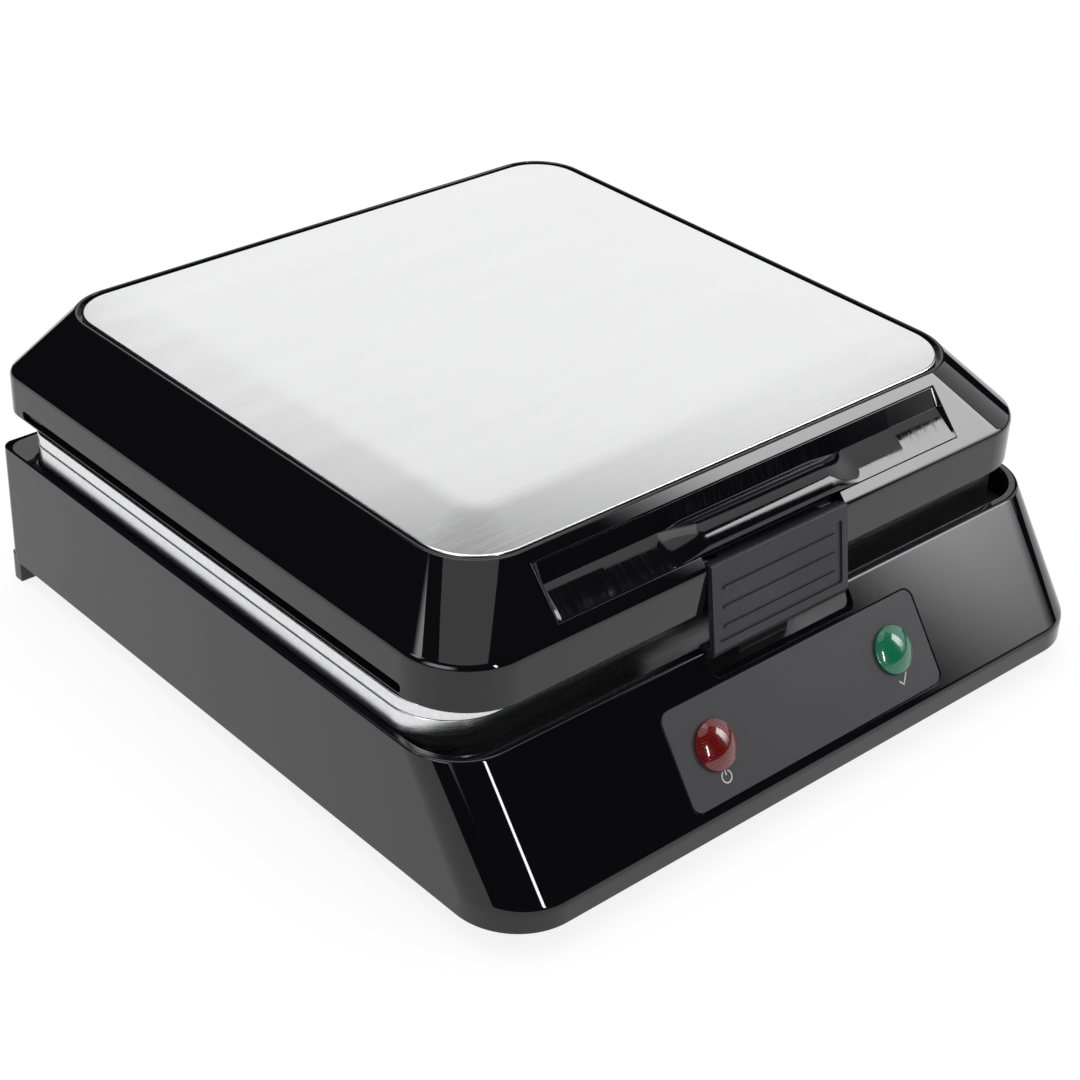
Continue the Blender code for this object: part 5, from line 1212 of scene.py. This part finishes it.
@dataclass
class LatchSet:
    """The latch with its ridged field, the pin that it swings on and its coil spring."""

    half: float = 33.0 * MM
    thickness: float = 2.4 * MM
    top: Point = (-117.2 * MM, 90.394 * MM)
    bottom: Point = (-122.0 * MM, 58.8 * MM)
    pivot: Point = (-108.9 * MM, 86.1 * MM)
    barrel: float = 2.6 * MM
    barrel_trim: float = 8.0 * MM
    bore: float = 1.55 * MM
    pin: float = 1.25 * MM
    hook_drop: float = 2.4 * MM
    hook_tip: float = -114.8 * MM
    hook_height: float = 2.5 * MM
    neck_root: float = 0.8 * MM
    field_side: float = 2.8 * MM
    field_top: float = 5.0 * MM
    field_bottom: float = 3.0 * MM
    field_depth: float = 0.7 * MM
    ridges: tuple[float, ...] = (9.8 * MM, 17.0 * MM, 24.2 * MM)
    ridge_width: float = 1.4 * MM
    ridge_margin: float = 5.6 * MM
    ridge_height: float = 0.6 * MM
    wire: float = 0.35 * MM
    coil: float = 1.9 * MM
    turns: int = 7

    def face(self) -> Matrix:
        """Gives the outer face's place: X along it, Y into the latch, Z up it."""
        lean = math.atan2(self.top[0] - self.bottom[0], self.top[1] - self.bottom[1])
        return Matrix.Translation((0.0, *self.top)) @ Matrix.Rotation(-lean, 4, "X")

    def outline(self) -> list[Point]:
        """Gives the latch's section: plate, hook, neck and barrel."""
        (top_y, top_z), (low_y, low_z) = self.top, self.bottom
        slope = (low_y - top_y) / (low_z - top_z)
        hook_low = low_z - self.hook_drop
        neck_low = self.pivot[1] - self.barrel
        hook_top = hook_low + self.hook_height
        corners = [(top_y, top_z, 0.5 * MM), (low_y, low_z, 0.6 * MM),
                   (low_y + self.neck_root, hook_low, 0.5 * MM), (self.hook_tip, hook_low, 0.3 * MM),
                   (self.hook_tip, hook_top, 0.4 * MM),
                   (low_y + self.thickness, hook_top + self.neck_root, 0.8 * MM),
                   (top_y + self.thickness + slope * (neck_low - top_z), neck_low, 0.8 * MM)]
        for step in range(21):
            angle = math.radians(-120 + 11 * step)
            corners.append((self.pivot[0] + self.barrel * math.cos(angle),
                            self.pivot[1] + self.barrel * math.sin(angle), 0.0))
        corners.append((top_y + self.thickness / 2, top_z + self.neck_root / 4, 0.4 * MM))
        return eased_outline(corners, 4)

    def cutters(self) -> list[bpy.types.Object]:
        """Makes the tools for the field, the barrel's trimmed ends and the bore."""
        height = math.hypot(self.top[0] - self.bottom[0], self.top[1] - self.bottom[1])
        height -= self.field_top + self.field_bottom
        outline = rounded_outline(2 * (self.half - self.field_side), height, 1.0 * MM,
                                  (0.0, -self.field_top - height / 2), 6)
        sunk = extruded("field_tool", outline, Axis.Y, -2.0 * MM, self.field_depth)
        sunk.matrix_world = self.face()
        tools = [sunk]
        reach = self.barrel + OVERRUN
        ahead, behind = self.pivot[0] - self.barrel - self.neck_root, self.pivot[0] + reach
        for side in (-1, 1):
            near, far = sorted((side * (self.half - self.barrel_trim), side * (self.half + OVERRUN)))
            outline = [(ahead, self.pivot[1] - reach), (behind, self.pivot[1] - reach),
                       (behind, self.pivot[1] + reach), (ahead, self.pivot[1] + reach)]
            tools.append(extruded(f"trim_tool_{side + 1}", outline, Axis.X, near, far))
        profile = [(self.bore, -self.half - OVERRUN), (self.bore, self.half + OVERRUN)]
        tools.append(turned("bore_tool", profile, 32, place=self.across()))
        bpy.context.view_layer.update()
        return tools

    def across(self) -> Matrix:
        """Gives the pivot's place with Z along the pin."""
        return Matrix.Translation((0.0, *self.pivot)) @ Matrix.Rotation(0.5 * math.pi, 4, "Y")

    def plate(self) -> bpy.types.Object:
        """Makes the latch with its sunk field and round-ended ridges."""
        latch = extruded("latch_plate", self.outline(), Axis.X, -self.half, self.half)
        cut_away(latch, self.cutters())
        soften(latch, 0.3 * MM, (-0.0335, -0.124, 0.0585), (0.0335, -0.1095, 0.0898))
        bm = bmesh.new()
        bm.from_mesh(latch.data)
        place = self.face()
        for drop in self.ridges:
            length = 2 * (self.half - self.ridge_margin)
            rings = []
            for out, shrink in ((0.4, 0.0), (-0.55, 0.0), (-0.86, 0.16), (-1.0, 0.5)):
                width = self.ridge_width - shrink * MM
                outline = rounded_outline(length - shrink * MM, width, width / 2 - 0.01 * MM, (0.0, -drop), 6)
                depth = self.field_depth + out * self.ridge_height
                rings.append([place @ Vector((x, depth, z)) for x, z in outline])
            add_skin(bm, rings, closed=False)
        bmesh.ops.recalc_face_normals(bm, faces=bm.faces)
        bm.to_mesh(latch.data)
        bm.free()
        return latch

    def spring(self) -> bpy.types.Object:
        """Winds the small torsion spring on the pin beside the barrel."""
        start = self.half - self.barrel_trim + 0.7 * MM
        end = self.half
        rings = []
        count = self.turns * 20
        for step in range(count + 1):
            angle = math.tau * step / 20
            x = start + (end - start) * step / count
            out = Vector((0.0, math.cos(angle), math.sin(angle)))
            centre = Vector((x, self.pivot[0], self.pivot[1])) + out * self.coil
            rings.append([centre + out * self.wire * math.cos(math.tau * k / 8)
                          + Vector((self.wire * math.sin(math.tau * k / 8), 0.0, 0.0)) for k in range(8)])
        return skinned("latch_coil_spring", rings)

    def build(self) -> list[bpy.types.Object]:
        """Makes the latch, its pin and its spring."""
        reach = self.half + 3.8 * MM
        profile = [(self.pin - 0.3 * MM, -reach), (self.pin, -reach + 0.3 * MM), (self.pin, reach - 0.3 * MM),
                   (self.pin - 0.3 * MM, reach)]
        pin = turned("latch_pivot_pin", profile, 32, place=self.across())
        return [ready(self.plate(), LATCH_SATIN, Body.LATCH, "latch"),
                ready(pin, ZINC_STEEL, Body.LID, "latch_pin"),
                ready(self.spring(), ZINC_STEEL, Body.LID, "latch_spring")]


# Feet, hinges, screws and inner parts

@dataclass
class RunningGear:
    """The feet, the cord gland, the hinges with their pins and every screw that shows."""

    hinge: Point = (142.0 * MM, 65.8 * MM)
    pin_radius: float = 2.0 * MM
    pin_half: float = 13.1 * MM
    foot_radius: float = 9.0 * MM
    head_radius: float = 2.8 * MM
    head_height: float = 2.0 * MM
    shank: float = 1.5 * MM
    thread_pitch: float = 0.7 * MM
    gland_place: tuple[float, float, float] = (60.0 * MM, 145.5 * MM, 27.0 * MM)
    pin_x: float = 83.0 * MM

    def foot(self, node: str) -> bpy.types.Object:
        """Turns one rubber foot in its node's place, with a hollow under it."""
        low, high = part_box(node)
        centre = (low + high) / 2
        radius = self.foot_radius
        profile = [(radius * 0.45, high.z), (radius - 0.4 * MM, high.z), (radius, high.z - 0.4 * MM),
                   (radius, 1.4 * MM), (radius - 0.4 * MM, 0.45 * MM), (radius - 1.3 * MM, 0.0),
                   (radius * 0.6, 0.0), (radius * 0.52, 0.25 * MM), (radius * 0.45, 0.9 * MM)]
        place = Matrix.Translation((centre.x, centre.y, 0.0))
        bm = bmesh.new()
        add_skin(bm, turned_rings(profile, 64, place), closed=True)
        plug = [(radius * 0.46, 0.85 * MM), (radius * 0.46, high.z - 0.1 * MM)]
        add_skin(bm, turned_rings(plug, 48, place), closed=False)
        return ready(piece_from(node + "_rubber", bm), FOOT_RUBBER, Body.BASE, node)

    def gland(self) -> bpy.types.Object:
        """Turns the bored bush of the cord's way in."""
        profile = [(3.5 * MM, 2.3 * MM), (3.9 * MM, 2.7 * MM), (6.9 * MM, 2.7 * MM), (7.6 * MM, 2.5 * MM),
                   (8.4 * MM, 1.0 * MM), (8.5 * MM, 0.3 * MM), (5.7 * MM, 0.3 * MM), (5.7 * MM, -5.2 * MM),
                   (3.5 * MM, -5.2 * MM)]
        place = Matrix.Translation(self.gland_place) @ Matrix.Rotation(-0.5 * math.pi, 4, "X")
        gland = turned("cord_bush", profile, closed=True, place=place)
        return ready(gland, FRAME_BLACK, Body.BASE, "cord_gland")

    def screw(self, node: str, upwards: bool, body: Body) -> bpy.types.Object:
        """Makes one screw in its node's place: cross recess, domed head and rolled thread.

        Args:
            node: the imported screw.
            upwards: whether its point is above its head.
            body: the body that it moves with.

        Returns:
            The screw.
        """
        low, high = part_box(node)
        centre = (low + high) / 2
        length = high.z - low.z - self.head_height
        profile = [(self.shank * 0.4, length)]
        turns = int((length - 1.2 * MM) / self.thread_pitch)
        for index in range(turns, 0, -1):
            crest = index * self.thread_pitch
            profile += [(self.shank * 0.8, crest + self.thread_pitch / 2), (self.shank, crest)]
        profile += [(self.shank * 0.85, 0.2 * MM), (self.shank * 0.85, 0.0),
                    (self.head_radius - 0.1 * MM, 0.0), (self.head_radius, -0.15 * MM),
                    (self.head_radius, -self.head_height * 0.45),
                    (self.head_radius * 0.94, -self.head_height * 0.68),
                    (self.head_radius * 0.75, -self.head_height * 0.88),
                    (self.head_radius * 0.5, -self.head_height * 0.97), (0.2 * MM, -self.head_height)]
        screw = turned(node + "_threaded", profile, 32)
        reach = self.head_radius * 0.62
        tools = []
        for index, (wide, deep) in enumerate(((reach, 0.4 * MM), (0.4 * MM, reach))):
            outline = [(-wide, -deep), (wide, -deep), (wide, deep), (-wide, deep)]
            tools.append(extruded(f"cross_tool_{index}", outline, Axis.Z, -self.head_height - 1 * MM,
                                  -self.head_height * 0.45))
        cut_away(screw, tools)
        seat = low.z + self.head_height if upwards else high.z - self.head_height
        turn = Matrix.Identity(4) if upwards else Matrix.Rotation(math.pi, 4, "X")
        screw.matrix_world = Matrix.Translation((centre.x, centre.y, seat)) @ turn
        return ready(screw, ZINC_STEEL, body, node)

    def hinge_pin(self, node: str, centre: float) -> bpy.types.Object:
        """Turns one hinge pin with chamfered ends."""
        reach, edge = self.pin_half, 0.4 * MM
        profile = [(self.pin_radius - edge, -reach), (self.pin_radius, -reach + edge),
                   (self.pin_radius, reach - edge), (self.pin_radius - edge, reach)]
        place = Matrix.Translation((centre, *self.hinge)) @ Matrix.Rotation(0.5 * math.pi, 4, "Y")
        return ready(turned(node + "_turned", profile, 48, place=place), ZINC_STEEL, Body.BASE, node)

    def build(self) -> list[bpy.types.Object]:
        """Makes all the running gear."""
        made = [self.foot(f"foot_{end}_{side}") for end in ("front", "rear") for side in ("left", "right")]
        made.append(self.gland())
        for word, side in (("left", -1), ("right", 1)):
            made.append(self.hinge_pin(f"hinge_pin_{word}", side * self.pin_x))
            for node, body in ((f"hinge_bracket_{word}", Body.BASE), (f"hinge_arm_{word}", Body.LID)):
                piece = refined(node, 0.25 * MM)
                ZINC_STEEL.on(piece)
                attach(piece, body.value)
                made.append(piece)
            for hand in ("inner", "outer"):
                made.append(self.screw(f"bracket_screw_{word}_{hand}", False, Body.BASE))
            made.append(self.screw(f"arm_screw_{word}", True, Body.LID))
            for end in ("front", "rear"):
                made.append(self.screw(f"cover_screw_{end}_{word}", True, Body.BASE))
                made.append(self.screw(f"lid_screw_{end}_{word}", True, Body.LID))
        return made


@dataclass
class InnerParts:
    """The covers, frames, heaters and wiring, most of them hidden by the shells."""

    edged: dict[str, tuple[Finish, Body, float]] = field(default_factory=lambda: {
        "bottom_cover": (FRAME_BLACK, Body.BASE, 0.4 * MM),
        "lower_frame": (FRAME_BLACK, Body.BASE, 0.4 * MM),
        "upper_frame": (FRAME_BLACK, Body.LID, 0.4 * MM),
        "terminal_block": (TERMINAL_WHITE, Body.BASE, 0.4 * MM),
        "thermostat": (ZINC_STEEL, Body.BASE, 0.3 * MM)})
    plain: dict[str, Finish] = field(default_factory=lambda: {
        "lower_heating_element": HEATER_SHEATH, "upper_heating_element": HEATER_SHEATH,
        "lower_heat_shield": SHIELD_SHEET, "upper_heat_shield": SHIELD_SHEET,
        "lower_thermal_fuse": SHIELD_SHEET, "upper_thermal_fuse": SHIELD_SHEET,
        "lower_lead_live": LEAD_WEAVE, "lower_lead_neutral": LEAD_WEAVE,
        "upper_lead_live": LEAD_WEAVE, "upper_lead_neutral": LEAD_WEAVE})

    def build(self) -> list[bpy.types.Object]:
        """Breaks the edges of the parts that can be seen, and finishes the rest."""
        made = []
        for node, (finish, body, width) in self.edged.items():
            piece = refined(node, width)
            finish.on(piece)
            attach(piece, body.value)
            made.append(piece)
        for node, finish in self.plain.items():
            finish.on_node(node)
        return made


# The studio

@dataclass(frozen=True)
class Softbox:
    """A rectangular lamp that faces the grill."""

    name: str
    place: tuple[float, float, float]
    aim: tuple[float, float, float]
    size: Point
    radiance: float

    def light(self) -> bpy.types.Object:
        """Makes the lamp at its place, turned to its aim."""
        data = bpy.data.lights.new(self.name, "AREA")
        data.shape = "RECTANGLE"
        data.size, data.size_y = self.size
        data.energy = self.radiance * math.pi * self.size[0] * self.size[1]
        lamp = bpy.data.objects.new(self.name, data)
        bpy.context.scene.collection.objects.link(lamp)
        way = Vector(self.aim) - Vector(self.place)
        lamp.matrix_world = Matrix.Translation(self.place) @ way.to_track_quat("-Z", "Y").to_matrix().to_4x4()
        return lamp


@dataclass(frozen=True)
class Reflector:
    """An upright card that only gloss sees: bright in its middle, soft towards its sides."""

    name: str
    bearing: float
    width: float
    heights: Point
    radiance: float
    fades: Point = (0.3, 0.3)
    rise_share: float = 0.01
    reach: float = 1.1

    def card(self) -> bpy.types.Object:
        """Makes the card at its bearing, turned to the grill."""
        bm = bmesh.new()
        half, (low, high) = self.width / 2, self.heights
        corners = ((-half, low), (half, low), (half, high), (-half, high))
        bm.faces.new([bm.verts.new((x, 0.0, z)) for x, z in corners])
        card = piece_from(self.name, bm)
        turn = math.radians(self.bearing)
        spot = (self.reach * math.cos(turn), self.reach * math.sin(turn), 0.0)
        card.matrix_world = Matrix.Translation(spot) @ Matrix.Rotation(turn - 0.5 * math.pi, 4, "Z")
        card.data.materials.append(self.material())
        hide_from_view(card)
        return card

    def material(self) -> bpy.types.Material:
        """Makes a glow that fades to nothing over a share of the width at each side."""
        material = bpy.data.materials.new(self.name + "_glow")
        material.use_nodes = True
        tree = material.node_tree
        tree.nodes.clear()
        place = tree.nodes.new("ShaderNodeSeparateXYZ")
        tree.links.new(tree.nodes.new("ShaderNodeTexCoord").outputs["Object"], place.inputs[0])
        glow = tree.nodes.new("ShaderNodeEmission")
        target = glow.inputs["Strength"]
        low, high = self.heights
        ramps = [("Z", low, low + (high - low) * self.rise_share)]
        for side, share in zip((-1, 1), self.fades):
            ramps.append(("X", side * self.width / 2, side * self.width * (0.5 - share)))
        for axis, edge, full in ramps:
            ramp = tree.nodes.new("ShaderNodeMapRange")
            ramp.interpolation_type = "SMOOTHSTEP"
            for name, value in (("From Min", edge), ("From Max", full), ("To Min", 0.0)):
                ramp.inputs[name].default_value = value
            ramp.inputs["To Max"].default_value = self.radiance if axis == "Z" else 1.0
            tree.links.new(place.outputs[axis], ramp.inputs["Value"])
            both = tree.nodes.new("ShaderNodeMath")
            both.operation = "MULTIPLY"
            both.inputs[1].default_value = 1.0
            tree.links.new(ramp.outputs["Result"], both.inputs[0])
            tree.links.new(both.outputs[0], target)
            target = both.inputs[1]
        output = tree.nodes.new("ShaderNodeOutputMaterial")
        tree.links.new(glow.outputs[0], output.inputs["Surface"])
        return material


def hide_from_view(item: bpy.types.Object) -> None:
    """Leaves a studio piece visible to gloss alone."""
    item.visible_camera = False
    item.visible_diffuse = False
    item.visible_shadow = False
    item.visible_transmission = False


@dataclass
class Studio:
    """A white floor, soft lamps, black flags for the gloss and the photograph's camera."""

    floor_half: float = 6.0
    flag_reach: float = 1.2
    flag_heights: tuple[tuple[float, float], ...] = (
        (-180.0, 58.0), (-30.0, 58.0), (-26.0, 4.0), (0.0, 4.0), (6.0, 50.0), (22.0, 50.0), (27.0, 3.0),
        (69.0, 3.0), (77.0, 58.0), (180.0, 58.0))
    softboxes: tuple[Softbox, ...] = (
        Softbox("overhead_softbox", (0.1, 0.25, 1.5), (0.0, 0.0, 0.1), (1.6, 1.3), 1.1),)
    reflectors: tuple[Reflector, ...] = (
        Reflector("side_window", -39.0, 0.43, (0.05, 0.98), 9.2, (0.05, 0.3), 0.65),
        Reflector("ceiling_flag", 48.5, 1.2, (1.0, 2.1), 0.0),
        Reflector("corner_card", -160.0, 0.9, (0.25, 0.85), 4.2, (0.35, 0.35)),
        Reflector("lid_corner_card", 165.0, 0.35, (0.75, 1.3), 4.2, (0.4, 0.4)),
        Reflector("corner_strip", -97.0, 0.08, (0.25, 0.75), 30.0, (0.3, 0.3)))
    camera_place: tuple[float, float, float] = (-0.51055, -0.54920, 0.49687)
    camera_turn: tuple[float, float, float] = (-42.84, -31.85, 2.456)
    lens: float = 77.5

    def lit_floor(self) -> bpy.types.Object:
        """Makes the floor: white to the camera and to gloss, with the grill's shadow kept."""
        bm = bmesh.new()
        reach = self.floor_half
        corners = ((-reach, -reach), (reach, -reach), (reach, reach), (-reach, reach))
        bm.faces.new([bm.verts.new((x, y, 0.0)) for x, y in corners])
        floor = piece_from("studio_floor", bm)
        material = bpy.data.materials.new("studio_floor_white")
        material.use_nodes = True
        tree = material.node_tree
        tree.nodes.clear()
        seen = self.seen_rays(tree)
        plain = tree.nodes.new("ShaderNodeBsdfDiffuse")
        plain.inputs["Color"].default_value = (0.8, 0.8, 0.8, 1.0)
        shaded = tree.nodes.new("ShaderNodeBsdfDiffuse")
        shaded.inputs["Color"].default_value = (0.25, 0.25, 0.25, 1.0)
        glow = tree.nodes.new("ShaderNodeEmission")
        glow.inputs["Strength"].default_value = 0.85
        both = tree.nodes.new("ShaderNodeAddShader")
        tree.links.new(shaded.outputs[0], both.inputs[0])
        tree.links.new(glow.outputs[0], both.inputs[1])
        mix = tree.nodes.new("ShaderNodeMixShader")
        tree.links.new(seen, mix.inputs[0])
        tree.links.new(plain.outputs[0], mix.inputs[1])
        tree.links.new(both.outputs[0], mix.inputs[2])
        output = tree.nodes.new("ShaderNodeOutputMaterial")
        tree.links.new(mix.outputs[0], output.inputs["Surface"])
        floor.data.materials.append(material)
        return floor

    def seen_rays(self, tree: bpy.types.NodeTree) -> bpy.types.NodeSocket:
        """Gives 1 for rays that the camera, gloss or glass sends out."""
        path = tree.nodes.new("ShaderNodeLightPath")
        first = tree.nodes.new("ShaderNodeMath")
        first.operation = "MAXIMUM"
        tree.links.new(path.outputs["Is Camera Ray"], first.inputs[0])
        tree.links.new(path.outputs["Is Glossy Ray"], first.inputs[1])
        second = tree.nodes.new("ShaderNodeMath")
        second.operation = "MAXIMUM"
        tree.links.new(first.outputs[0], second.inputs[0])
        tree.links.new(path.outputs["Is Transmission Ray"], second.inputs[1])
        return second.outputs[0]

    def world(self) -> None:
        """Sets a white surround for the camera and gloss, and a dimmer fill light."""
        world = bpy.data.worlds.new("studio_surround")
        bpy.context.scene.world = world
        world.use_nodes = True
        tree = world.node_tree
        shine = tree.nodes["Background"]
        shine.inputs["Color"].default_value = (1.0, 1.0, 1.0, 1.0)
        strength = tree.nodes.new("ShaderNodeMapRange")
        strength.inputs["To Min"].default_value = 0.5
        strength.inputs["To Max"].default_value = 1.0
        tree.links.new(self.seen_rays(tree), strength.inputs["Value"])
        tree.links.new(strength.outputs["Result"], shine.inputs["Strength"])

    def flags(self) -> bpy.types.Object:
        """Makes a ring of black flags that only gloss sees, lower where the surround should show."""
        bm = bmesh.new()
        rows = []
        for (first, low), (second, high) in zip(self.flag_heights, self.flag_heights[1:]):
            steps = max(1, round((second - first) / 5.0))
            for step in range(steps):
                share = step / steps
                rows.append((math.radians(first + (second - first) * share),
                             math.radians(low + (high - low) * share)))
        feet, tops = [], []
        for turn, rise in rows:
            x, y = self.flag_reach * math.cos(turn), self.flag_reach * math.sin(turn)
            feet.append(bm.verts.new((x, y, 0.001)))
            tops.append(bm.verts.new((x, y, 0.08 + self.flag_reach * math.tan(rise))))
        for index in range(len(rows)):
            after = (index + 1) % len(rows)
            bm.faces.new((feet[index], feet[after], tops[after], tops[index]))
        flags = piece_from("studio_flags", bm)
        material = bpy.data.materials.new("studio_flag_black")
        material.use_nodes = True
        shader = material.node_tree.nodes["Principled BSDF"]
        shader.inputs["Base Color"].default_value = (0.002, 0.002, 0.0025, 1.0)
        shader.inputs["Roughness"].default_value = 1.0
        shader.inputs["Specular IOR Level"].default_value = 0.0
        flags.data.materials.append(material)
        hide_from_view(flags)
        return flags

    def camera(self) -> bpy.types.Object:
        """Places the camera at the photograph's viewing angle."""
        yaw, pitch, roll = (math.radians(angle) for angle in self.camera_turn)
        ahead = Vector((-math.sin(yaw) * math.cos(pitch), math.cos(yaw) * math.cos(pitch), math.sin(pitch)))
        right = Vector((math.cos(yaw), math.sin(yaw), 0.0))
        up = right.cross(ahead)
        right, up = (math.cos(roll) * right + math.sin(roll) * up,
                     math.cos(roll) * up - math.sin(roll) * right)
        data = bpy.data.cameras.new("photo_camera")
        data.lens = self.lens
        data.sensor_width = 36.0
        data.clip_start = 0.01
        camera = bpy.data.objects.new("photo_camera", data)
        bpy.context.scene.collection.objects.link(camera)
        turn = Matrix((right, up, -ahead)).transposed().to_4x4()
        camera.matrix_world = Matrix.Translation(self.camera_place) @ turn
        bpy.context.scene.camera = camera
        return camera

    def build(self) -> list[bpy.types.Object]:
        """Sets the studio up and gives back its floor, flags, cards and lamps."""
        bpy.context.scene.view_settings.view_transform = "Standard"
        self.camera()
        self.world()
        stage = [self.lit_floor(), self.flags()] + [reflector.card() for reflector in self.reflectors]
        return stage + [box.light() for box in self.softboxes]


def main() -> None:
    """Builds the studio and every sub-assembly in order, and reports each piece."""
    logging.basicConfig(level=logging.INFO, format="%(name)s: %(message)s")
    base = BaseShell()
    lid = LidShell()
    crew = (Studio(), base, ControlPanel(base), CookingPlates(), lid, TopPlate(lid), LidHandle(lid),
            LatchSet(), RunningGear(), InnerParts())
    for unit in crew:
        for piece in unit.build():
            log.info("%s made %s", type(unit).__name__, piece.name)


if __name__ == "__main__":
    main()
